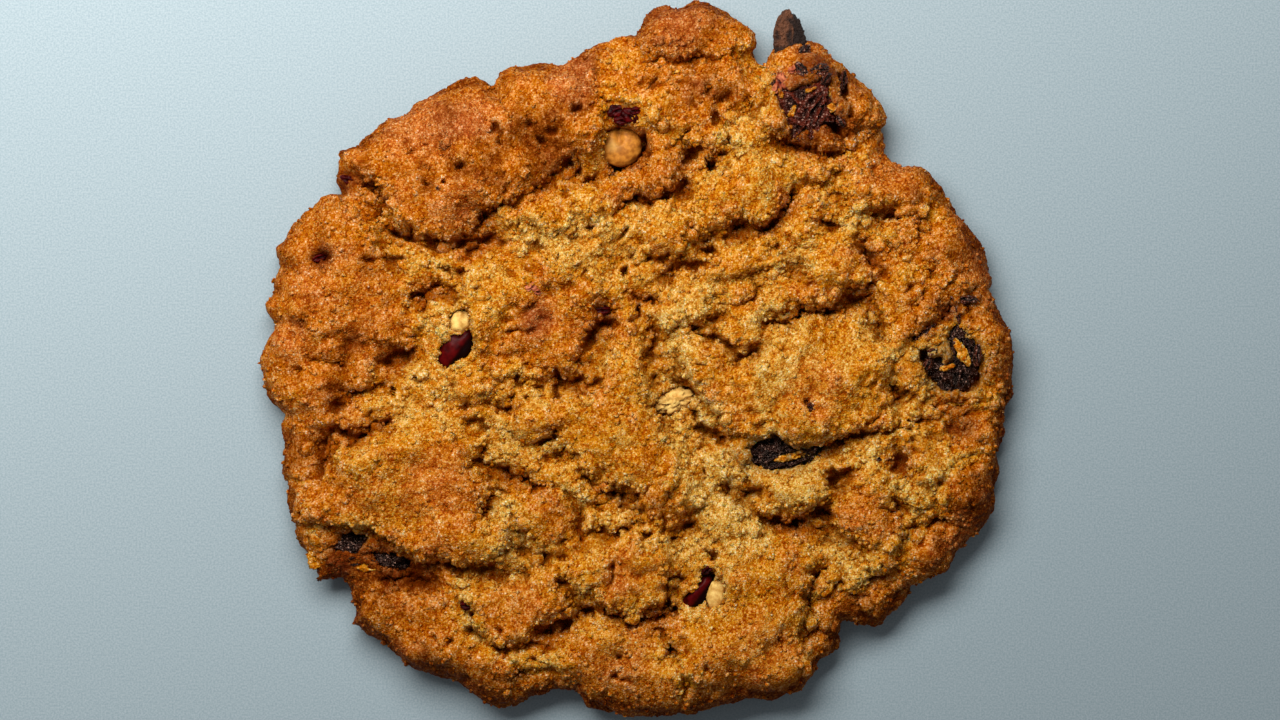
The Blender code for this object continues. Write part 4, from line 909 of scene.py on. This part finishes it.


# The crust's colours for each stage of its browning, from the dark to the light end of `lit`: each grain's
# own tone mixed with painted shade in hollows and between grains, and painted highlights on raised grains.
STOPS = (0, 0.3, 0.55, 0.8, 1)
PALE = ((116, 52, 2), (168, 96, 4), (214, 163, 66), (232, 203, 134), (246, 236, 206))
GOLDEN = ((112, 30, 0), (160, 73, 0), (206, 136, 16), (226, 179, 98), (244, 232, 200))
BROWN = ((90, 16, 0), (143, 55, 0), (193, 112, 8), (222, 163, 98), (244, 224, 200))
DARK = ((32, 2, 0), (74, 20, 0), (110, 48, 3), (158, 90, 28), (200, 142, 80))
ROSE = ((112, 24, 4), (156, 66, 20), (202, 114, 52), (230, 168, 112), (248, 228, 204))

# Colours for painted shade in the valleys and in hollows of pale and of brown crust, for juice stains,
# and for painted shade on the upper left, nearest the lamp, that evens out its brighter light there.
VALLEY_PAINTED_SHADE = (116, 46, 0)
HOLLOW_PAINTED_SHADE = ((110, 60, 10), (90, 26, 0))
JUICE = (88, 28, 10)
LAMP_SIDE_PAINTED_SHADE = (110, 44, 0)
LAMP_SIDE_DIRECTION = (-0.0157, 0.0157, 0.0)
GRAIN_APART = 0.225

crust_material, shader, places = new_material("baked dough")
# The bake that the crust reads holds real browning and painted shade.
baked, own = attribute(places, "bake"), attribute(places, "own")
near_by, standing, far = (attribute(places, "stand_" + name) for name in ("near", "out", "far"))
patches = grain(places, 3.4, 3.0)
blots = grain(places, 1.4, 2.0)
specks = grain(places, 0.5, 3.0)
tiny = grain(places, 0.24, 2.0)
# Painted shade: browner and darker towards the upper left, nearest the lamp, evening out its brighter light.
lamp_side_shade = places.node("VectorMath", {"operation": "DOT_PRODUCT"}, {0: places, 1: LAMP_SIDE_DIRECTION}, 1)
browning_and_shade = baked + (patches - 0.5) * 1.1 + (blots - 0.5) * 0.5 + (own - 0.5) * 0.35 + lamp_side_shade * 0.15
grain_middle, each_grain = cells(places, GRAIN_APART)
mottle = grain(places, 1.1, 3.0)
rosy = grain(places, 2.6, 3.0)
# Painted light: raised places come out lighter and the rims of the grains darker, on top of each grain's own
# tone.
lit = each_grain * 0.52 + specks.between(0.3, 0.7) * 0.16 + mottle.between(0.3, 0.7) * 0.14
lit = lit + near_by.between(-0.3, 0.3) * 0.18 - grain_middle.between(0.3, 0.6) * 0.14 + 0.085
pale, golden, brown, dark = (lit.ramp(STOPS, colours) for colours in (PALE, GOLDEN, BROWN, DARK))
colour = browning_and_shade.between(0.02, 0.42).mix(pale, golden)
colour = browning_and_shade.between(0.34, 0.84).mix(colour, brown)
colour = browning_and_shade.between(0.85, 1.45).mix(colour, dark)
crusty = browning_and_shade.between(0.1, 0.5)
warmth = attribute(places, "blush") * 0.55
warmth = warmth + rosy.between(0.5, 0.66) * crusty * standing.between(-0.2, 0.4) * 0.25
colour = warmth.mix(colour, lit.ramp(STOPS, ROSE))
# Painted shade: broad valleys of the crust are darkened.
colour = ((1 - far.between(-1.8, 0.1)) * crusty * 0.4).mix(colour, linear(*VALLEY_PAINTED_SHADE))
# Painted shade: places lower than their surroundings are darkened.
colour = ((1 - standing.between(-1.0, 0.0)) * 0.55).mix(colour, crusty.shade(HOLLOW_PAINTED_SHADE))
colour = (attribute(places, "stain") * (0.4 + mottle * 0.8)).mix(colour, linear(*JUICE))
# Painted shade on the upper left, nearest the lamp.
colour = (lamp_side_shade.between(-1.2, 1.2) * 0.22).mix(colour, linear(*LAMP_SIDE_PAINTED_SHADE))
glints = each_grain.between(0.6, 0.72) * (1 - grain_middle.between(0.1, 0.5))
heights = tiny * 0.6 + specks * 0.9 + (1 - grain_middle) * 0.8
bumps = places.node("Bump", {}, {"Strength": 0.75, "Distance": 0.2 * MM, "Height": heights})
feed(shader, Base_Color=colour, Roughness=0.6 - glints * 0.25, Normal=bumps)
feed(shader, Specular_IOR_Level=0.05, Specular_Tint=(1.0, 0.6, 0.2, 1.0))
feed(shader, Coat_Weight=glints * (1 - browning_and_shade.between(0.5, 1.0)) * 0.4, Coat_Roughness=0.35)
feed(shader, Subsurface_Weight=0.3, Subsurface_Radius=(1.0, 0.35, 0.12), Subsurface_Scale=0.8 * MM)
dough.data.materials.append(crust_material)
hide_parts("biscuit")
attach(dough, "root")

# The crumbs.
# Baking dried the torn edges of the dough into loose grains. They cling to the skin singly and in rows
# along the edges of the plates, and larger crumbs fill the valleys between the plates.
GRAIN_ROUGHNESS = 0.24
GRAIN_FLATNESS = (0.65, 1.1)


def unit_ball(subdivisions):
    """The points and triangles of a ball of radius 1."""
    bpy.ops.mesh.primitive_ico_sphere_add(subdivisions=subdivisions, radius=1.0)
    model = bpy.context.object
    points = np.array([v.co[:] for v in model.data.vertices])
    faces = np.array([p.vertices[:] for p in model.data.polygons])
    bpy.data.objects.remove(model)
    return points, faces


def new_piece(name, points, faces, material):
    """A smooth mesh of its own that rides on the cookie, its points given in millimetres."""
    mesh = bpy.data.meshes.new(name)
    mesh.from_pydata((points.reshape(-1, 3) * MM).tolist(), [], faces.tolist())
    piece = bpy.data.objects.new(name, mesh)
    bpy.context.scene.collection.objects.link(piece)
    mesh.shade_smooth()
    mesh.materials.append(material)
    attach(piece, "root")
    return piece


def strewn(name, count, subdivisions, sizes, lift, weight, seed):
    """Rough little lumps set into the dough's skin, closer together where the weight is high."""
    draw = np.random.default_rng(seed)
    area = np.linalg.norm(np.cross(np.diff(body, axis=0)[:, :-1], np.diff(body, axis=1)[:-1]), axis=2)
    chance = (area * weight[:-1, :-1]).reshape(-1)
    row, column = np.divmod(draw.choice(chance.size, size=count, p=chance / chance.sum()), NET)
    down, along = draw.uniform(size=(2, count, 1))

    def at(net):
        net = net.reshape(NET + 1, NET + 1, -1)
        first = net[row, column] * (1 - along) + net[row, column + 1] * along
        second = net[row + 1, column] * (1 - along) + net[row + 1, column + 1] * along
        return first * (1 - down) + second * down

    ball, faces = unit_ball(subdivisions)
    size = sizes[0] + (sizes[1] - sizes[0]) * draw.uniform(size=(count, 1, 1)) ** 2
    turn = np.linalg.qr(draw.normal(size=(count, 3, 3)))[0]
    turn = turn * np.sign(np.linalg.det(turn))[:, None, None]
    lumps = ball * draw.normal(1.0, GRAIN_ROUGHNESS, (count, len(ball), 1))
    lumps = lumps * draw.uniform(*GRAIN_FLATNESS, (count, 1, 3))
    points = (lumps @ turn + at(outward)[:, None] * lift) * size + at(body)[:, None]
    points[..., 2] = np.maximum(points[..., 2], cad_low.z / MM)
    all_faces = (faces[None] + np.arange(count)[:, None, None] * len(ball)).reshape(-1, 3)
    piece = new_piece(name, points, all_faces, crust_material)
    each = np.ones((1, len(ball)))
    keep(
        piece.data,
        bake=at(bake) * each,
        # Crumbs count as standing higher, so painted light brightens them and the painted shade of hollows
        # spares them.
        stand_near=(at(stand_near) + 0.3 * size[:, :, 0]) * each,
        stand_out=(at(stand_out) + 0.4 * size[:, :, 0]) * each,
        stand_far=at(stand_far) * each,
        own=draw.uniform(size=(count, 1)) * each,
        stain=at(stain) * each,
        blush=at(blush) * each,
    )


outward = facing(body)
shown = (1.0 - under) * (1.0 - bare) * (turned < 0.72)
whole = shown * (1.0 - smooth(torn / 1.2))
strewn("fine_crumbs", 9400, 1, sizes=(0.16, 0.40), lift=0.15, weight=whole * (0.6 + crumbly), seed=41)
strewn("edge_crumbs", 1500, 2, sizes=(0.3, 1.0), lift=-0.3, weight=whole * crumbly ** 2, seed=42)

# The raisins.
# Whole dried grapes, bedded on their sides so deep that most of each lies under the dough. Their skin
# is nearly black, drawn into sharp folds by drying, and shines a little where it is bare.

# Skins from the depth of a fold to its crest, darker in the folds and lighter on the crests as painted
# shade and light. The number kept as `red` picks one: black at -1, brown at 0, jammy at 1 and dried out
# at 2.
BLACK_SKIN = ((4, 1, 1), (42, 20, 14))
BROWN_SKIN = ((10, 1, 0), (96, 38, 18))
JAMMY_SKIN = ((30, 3, 1), (98, 30, 12))
DRIED_SKIN = ((14, 9, 10), (102, 62, 40))
# Painted highlights: small pale spots on the bare skin stand in for glints.
PAINTED_GLINT_COLOUR = (196, 150, 130)
PAINTED_GLINT_APART = 0.32
raisin_material, shader, places = new_material("raisin")
fold, red = attribute(places, "fold"), attribute(places, "red")
dried = (red - 1.0).between(0.0, 1.0)
sheen = grain(places, 0.34, 3.0)
glint_middle, each_glint = cells(places, PAINTED_GLINT_APART)
painted_glints = each_glint.between(0.56, 0.7) * (1 - glint_middle.between(0.12, 0.5))
blotch = grain(places, 1.3, 3.0)
# Painted shade and light: the skin is darker deep in its folds and lighter on their crests.
skin = fold.between(0.0, 0.9).shade(BROWN_SKIN)
skin = (0 - red).between(0.0, 1.0).mix(skin, fold.between(0.2, 0.9).shade(BLACK_SKIN))
skin = red.between(0.0, 1.0).mix(skin, fold.between(-0.2, 1.0).shade(JAMMY_SKIN))
skin = dried.mix(skin, (fold * 0.5 + blotch).between(0.2, 1.0).shade(DRIED_SKIN))
# Painted highlights mixed into the skin.
skin = (painted_glints * (1 - dried) * 0.75).mix(skin, linear(*PAINTED_GLINT_COLOUR))
creases = places.node("Bump", {}, {"Strength": 1.0, "Distance": 0.8 * MM, "Height": sheen})
feed(shader, Base_Color=skin, Roughness=sheen * 0.4 + dried * 0.35 + 0.08, Normal=creases)
feed(shader, Specular_IOR_Level=0.5, Specular_Tint=(1.0, 0.72, 0.6, 1.0))


def bedded(subdivisions, middle, half, turn, top, folds, slope=(0.0, 0.0), buried=0.7):
    """A lump bedded in the dough: its middle and half sizes, its turn in degrees, and its top's height.

    Its folds are given by how far apart and how deep they are. Where dough covers it, it is pushed under.
    """
    ball, faces = unit_ball(subdivisions)
    turned_by = Matrix.Rotation(math.radians(turn), 3, "Z")
    points = ball * half
    points[:, 2] = half[2] * np.sign(ball[:, 2]) * np.abs(ball[:, 2]) ** 0.6
    along, over = points[:, 0], points[:, 1]
    deep = 1.0 - np.abs(lattice(along * 0.5 + 9.0, over + points[:, 2] * 0.8, folds[0], 51)) * 2.2
    deep = deep - np.abs(lattice(along * 0.7, over - points[:, 2] + 5.0, folds[0] * 0.45, 52)) * 0.9
    points = points * (1.0 + ((deep - 0.6) * folds[1] / np.linalg.norm(points, axis=1))[:, None])
    points = points @ np.array(turned_by.transposed()) + (*middle, top - half[2])
    points[:, 2] += (points[:, 0] - middle[0]) * slope[0] + (points[:, 1] - middle[1]) * slope[1]
    covered = 1.0 - bareness(points[:, 0], points[:, 1])
    points[:, 2] -= covered * np.clip(points[:, 2] - top + 1.2, 0.0, 9.0) * buried
    return points, faces, deep


# Each raisin: its node, middle, half sizes, turn, its skin, and how far its top lies under the dough's.
RAISIN_FOLDS = (1.1, 0.85)
RAISINS = (
    ("raisin_right", (37.9, 1.4), (5.8, 3.6, 2.3), 82.0, -0.8, 0.3),
    ("raisin_top_right", (20.0, 30.8), (4.7, 3.8, 2.4), 62.0, 1.0, 0.1),
    ("raisin_centre", (17.0, -11.2), (5.0, 2.4, 1.9), 8.0, -0.9, 0.2),
    ("raisin_left", (-32.8, -23.3), (5.4, 2.4, 2.0), -8.0, -0.9, 0.2),
)
for node, middle, half, turn, red_share, sunk in RAISINS:
    top = dough_level(*middle) - sunk
    points, faces, deep = bedded(6, middle, half, turn, top, RAISIN_FOLDS)
    raisin = new_piece(node + "_skin", points, faces, raisin_material)
    keep(raisin.data, fold=deep, red=np.full(deep.shape, red_share))
    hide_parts(node)

# One raisin sticks out past the rim, where it narrows, and dried to a dull brown stub.
STUB_FOLDS = (1.1, 0.35)
points, faces, deep = bedded(5, (18.0, 38.6), (3.6, 2.1, 1.7), turn=97.0, top=6.2, folds=STUB_FOLDS)
narrow = 1.0 - 0.25 * np.clip((points[:, 1] - 37.0) / 5.5, 0.0, 1.0)
points[:, 0] = 17.9 + (points[:, 0] - 17.9) * narrow
stub = new_piece("raisin_rim_skin", points, faces, raisin_material)
soft = 0.4 * lattice(points[:, 0], points[:, 1], 1.2, 61)
# Painted shade: the stub is darker on its right and lower sides, away from the lamp.
deep = deep - 1.3 * smooth((points[:, 0] - 17.3 + soft) / 2.2)
deep = deep - 0.9 * smooth((38.7 - points[:, 1] + soft) / 2.0)
keep(stub.data, fold=deep, red=np.full(deep.shape, 2.0))
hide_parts("raisin_rim")

# The red fruit.
# Two pieces of dried cranberry, cut side down, with smooth dark red skin. They lie in hollows of the
# dough, which rose round them. The number kept for each point paints shade on the skin above 0, and
# below 0 it gives pink flesh.
BERRY_SKIN = ((40, 0, 1), (84, 5, 6))
BERRY_SHADE = (12, 0, 0)
BERRY_FLESH = ((128, 44, 22), (200, 118, 78))
berry_material, shader, places = new_material("red fruit")
cloudy = grain(places, 1.2, 2.0).between(0.3, 0.7)
inner = attribute(places, "inner")
skin = inner.between(0.0, 1.0).mix(cloudy.shade(BERRY_SKIN), linear(*BERRY_SHADE))
skin = (0 - inner).between(0.0, 1.0).mix(skin, cloudy.shade(BERRY_FLESH))
feed(shader, Base_Color=skin, Roughness=0.4, Specular_IOR_Level=0.07)

# Each berry: its node, middle, half sizes, turn, how far it is sunk, and how its top slopes.
BERRY_FOLDS = (2.0, 0.3)
BERRIES = (
    ("red_fruit_left", (-22.0, 1.4), (3.1, 2.6, 1.6), 60.0, 0.9, (0.05, 0.1)),
    ("red_fruit_low", (6.9, -27.9), (2.5, 1.7, 1.4), 55.0, 0.5, (0.1, 0.1)),
)
for node, middle, half, turn, sunk, slope in BERRIES:
    top = dough_level(*middle) - sunk
    points, faces, _ = bedded(4, middle, half, turn, top, BERRY_FOLDS, slope)
    berry = new_piece(node + "_skin", points, faces, berry_material)
    # Painted shade: the skin darkens towards its lower right, away from the lamp.
    across = (points[:, 0] - middle[0]) * 0.8 - (points[:, 1] - middle[1]) * 0.6
    keep(berry.data, inner=smooth((across - 0.1) / 0.6))
    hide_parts(node)

# The nuts.
# One whole round kernel with its seam up, two small cream pieces and a broken chip, toasted by the oven.
# They were stirred into the dough, and it holds each of them by its sides.
CREAM = ((194, 142, 62), (236, 198, 112))
TAN = ((146, 82, 16), (208, 136, 46))
nut_material, shader, places = new_material("nut")
toast = attribute(places, "toast")
mottle = grain(places, 0.7, 3.0)
cream, tan = mottle.between(0.3, 0.7).shade(CREAM), mottle.between(0.25, 0.75).shade(TAN)
rubbed = places.node("Bump", {}, {"Strength": 0.4, "Distance": 0.2 * MM, "Height": mottle})
feed(shader, Base_Color=(toast + (mottle - 0.5) * 0.6).between(0.1, 0.9).mix(cream, tan), Normal=rubbed)
feed(shader, Roughness=0.6, Specular_IOR_Level=0.25)

# Each nut: its node, middle, half sizes, turn, how toasted it is, how far it is sunk, and its roughness.
SEAM = (-2.5, 26.3, -2.6, 28.2)
NUTS = (
    ("nut_round", (-2.3, 25.7), (2.6, 2.5, 2.1), 0.0, 1.0, 0.5, 0.12),
    ("nut_left", (-21.5, 4.6), (1.55, 1.25, 1.2), 70.0, 0.15, 0.2, 0.2),
    ("nut_low", (9.2, -28.2), (2.0, 1.25, 1.2), 82.0, 0.1, 0.1, 0.15),
    ("nut_chip", (4.0, -4.9), (2.7, 1.6, 1.0), 18.0, 0.25, 0.2, 0.75),
)
for node, middle, half, turn, toasted, sunk, rough in NUTS:
    top = dough_level(*middle) - sunk
    points, faces, deep = bedded(4, middle, half, turn, top, (1.4 - rough, rough))
    if node == "nut_round":
        away = distance_to_line(points[:, 0], points[:, 1], *SEAM)
        points[:, 2] -= 1.0 * (1.0 - smooth(away / 0.7)) * (points[:, 2] > top - 1.2)
    nut = new_piece(node + "_kernel", points, faces, nut_material)
    # Each nut is paler towards its left.
    paler_left = 1.0 - smooth(np.hypot(points[:, 0] - middle[0] + 1.0, points[:, 1] - middle[1]) / 1.8)
    keep(nut.data, toast=toasted - 0.5 * paler_left)
    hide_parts(node)

# The oat flakes.
# Rolled oats from the dough. Most are coated and hidden; these lie bare, flat and creased along their
# middles, and a few are thick pale lumps of oat.

# Each flake: its middle, half sizes, turn, and how far it is sunk.
FLAKE_FOLDS = (0.8, 0.4)
FLAKE_HALF_THICK = 0.55
FLAKE_LIFT = 0.3
FLAKES = (
    (38.6, 0.9, 1.9, 0.7, 116.0, 0.2), (-38.6, -23.4, 2.0, 1.2, 55.0, 0.4),
    (6.6, 27.0, 1.5, 0.9, 80.0, 0.1), (4.0, 34.5, 0.9, 0.35, 5.0, 0.0), (26.0, -26.8, 1.6, 1.0, 10.0, 0.1),
    (22.2, -26.6, 1.8, 1.2, 70.0, 0.1), (20.5, 34.2, 0.8, 0.5, 30.0, -0.1),
    (23.2, 32.5, 1.5, 0.8, 75.0, 0.4), (23.4, 30.3, 1.2, 0.6, 20.0, 0.1),
    (17.6, -11.7, 1.7, 0.45, 8.0, 0.1), (-32.4, -25.0, 1.8, 0.5, -5.0, 0.1),
    (38.0, -5.2, 1.6, 0.4, 3.0, 0.1), (36.8, -0.9, 1.0, 0.4, 15.0, 0.2), (18.2, 29.7, 0.8, 0.5, 60.0, 0.0),
    (20.4, 32.3, 0.7, 0.35, 20.0, 0.1), (16.8, 31.9, 0.6, 0.4, 110.0, 0.0),
    (6.2, -27.2, 0.8, 0.7, 0.0, 0.0), (29.4, 6.6, 1.3, 0.8, 110.0, 0.2), (13.6, 6.4, 1.3, 0.7, 20.0, 0.2),
    (-27.6, 11.2, 1.6, 0.9, -30.0, 0.2), (-10.0, -14.0, 1.5, 0.9, 30.0, 0.2),
    (33.0, -16.6, 1.8, 1.0, -20.0, 0.1), (2.0, -21.6, 1.3, 0.7, 10.0, 0.2),
    (-12.6, -37.0, 1.5, 0.7, 10.0, 0.1), (10.4, 8.8, 1.3, 0.8, 40.0, 0.2),
)


def joined(name, lumps, material):
    """Several lumps as one piece."""
    points = np.concatenate([lump[0] for lump in lumps])
    starts = np.cumsum([0] + [len(lump[0]) for lump in lumps[:-1]])
    faces = np.concatenate([lump[1] + start for lump, start in zip(lumps, starts)])
    return new_piece(name, points, faces, material)


lumps = []
for px, py, length, width, turn, sunk in FLAKES:
    top = dough_level(px, py) - sunk + FLAKE_LIFT
    half = (length, width, FLAKE_HALF_THICK)
    points, faces, _ = bedded(4, (px, py), half, turn, top, FLAKE_FOLDS, buried=0.0)
    lumps.append((points, faces))
flakes = joined("oat_flakes", lumps, crust_material)
each = np.ones(len(flakes.data.vertices))
where = np.concatenate([lump[0] for lump in lumps])
keep(flakes.data, stain=spread(where[:, 0], where[:, 1], STAINS))
keep(flakes.data, bake=0.45 * each, own=0.5 * each)
# Flakes count as standing a little high, for the crust's painted light and shade.
keep(flakes.data, stand_near=0.1 * each, stand_out=0.3 * each, stand_far=0.0 * each)

# The shreds of fruit.
# Shreds of raisin and cranberry skin that show as small dark or red flecks, and jelly-like pink bits of
# cranberry flesh. The mixer tore them off and they baked into the skin of the dough.

# Each shred: its middle, half sizes and turn.
SHRED_HALF_THICK = 0.5
RED_SHREDS = (
    (-4.5, 6.0, 1.0, 0.65, 0.0), (-20.8, -29.3, 0.8, 0.6, 0.0), (-2.9, 29.8, 1.1, 0.9, 20.0),
    (-1.2, 29.2, 1.2, 0.9, -40.0), (-2.2, 28.7, 1.0, 0.7, 0.0), (-0.6, 29.8, 0.7, 0.5, 0.0),
    (-38.6, 12.3, 1.1, 0.6, 15.0), (-35.0, 21.6, 1.1, 0.5, -25.0), (8.0, -25.2, 0.9, 0.4, 40.0),
)
PINK_SHREDS = (
    (-13.0, 8.7, 0.85, 0.65, 30.0), (-12.3, 8.2, 0.5, 0.4, -20.0), (17.4, 33.4, 1.3, 1.0, -35.0),
    (18.5, 34.7, 0.9, 0.6, 20.0), (16.4, 32.5, 0.8, 0.6, 60.0),
)
DARK_SHREDS = (
    (19.7, 36.8, 1.2, 0.8, 60.0), (20.4, -5.6, 0.6, 0.5, 0.0), (38.8, 7.4, 1.8, 0.6, -8.0),
    (38.1, 5.6, 1.3, 0.3, 100.0), (34.2, 3.4, 1.6, 0.3, 38.0), (-24.0, 20.6, 0.4, 0.3, 0.0),
    (28.6, -11.8, 0.4, 0.3, 0.0), (24.4, 33.6, 1.2, 0.5, 80.0), (21.4, 34.6, 1.3, 0.8, 20.0),
    (40.4, 0.6, 1.4, 0.5, 85.0), (16.2, 33.6, 0.9, 0.6, 70.0), (19.4, 34.6, 1.2, 0.7, -50.0),
    (22.2, 33.6, 0.9, 0.5, 50.0), (35.0, 1.0, 0.7, 0.4, 20.0), (34.4, -0.6, 0.8, 0.5, 60.0),
    (24.0, 28.6, 0.9, 0.5, -60.0),
)

# Each kind: its piece, material, folds, and how far its tops stand above the dough.
KINDS = (
    ("cranberry_shreds", RED_SHREDS, berry_material, "red fruit", (0.6, 0.25), 0.7),
    ("pink_shreds", PINK_SHREDS, berry_material, "red fruit", (0.5, 0.3), 0.35),
    ("raisin_shreds", DARK_SHREDS, raisin_material, "raisin", (0.6, 0.3), 0.5),
)
for name, shreds, material, slot, folds, lift in KINDS:
    lumps, deeps = [], []
    for px, py, length, width, turn in shreds:
        top = dough_level(px, py) + lift
        half = (length, width, SHRED_HALF_THICK)
        points, faces, deep = bedded(4, (px, py), half, turn, top, folds, buried=0.0)
        lumps.append((points, faces))
        deeps.append(deep)
    pieces = joined(name, lumps, material)
    deep = np.concatenate(deeps)
    # For cranberry shreds the number paints shade in their folds; for pink shreds it gives flesh.
    inner = np.clip(-0.4 - 0.9 * deep, -1.0, 0.0) if name == "pink_shreds" else 0.5 - 0.5 * deep
    keep(pieces.data, fold=deep, red=np.zeros(len(deep)), inner=inner)
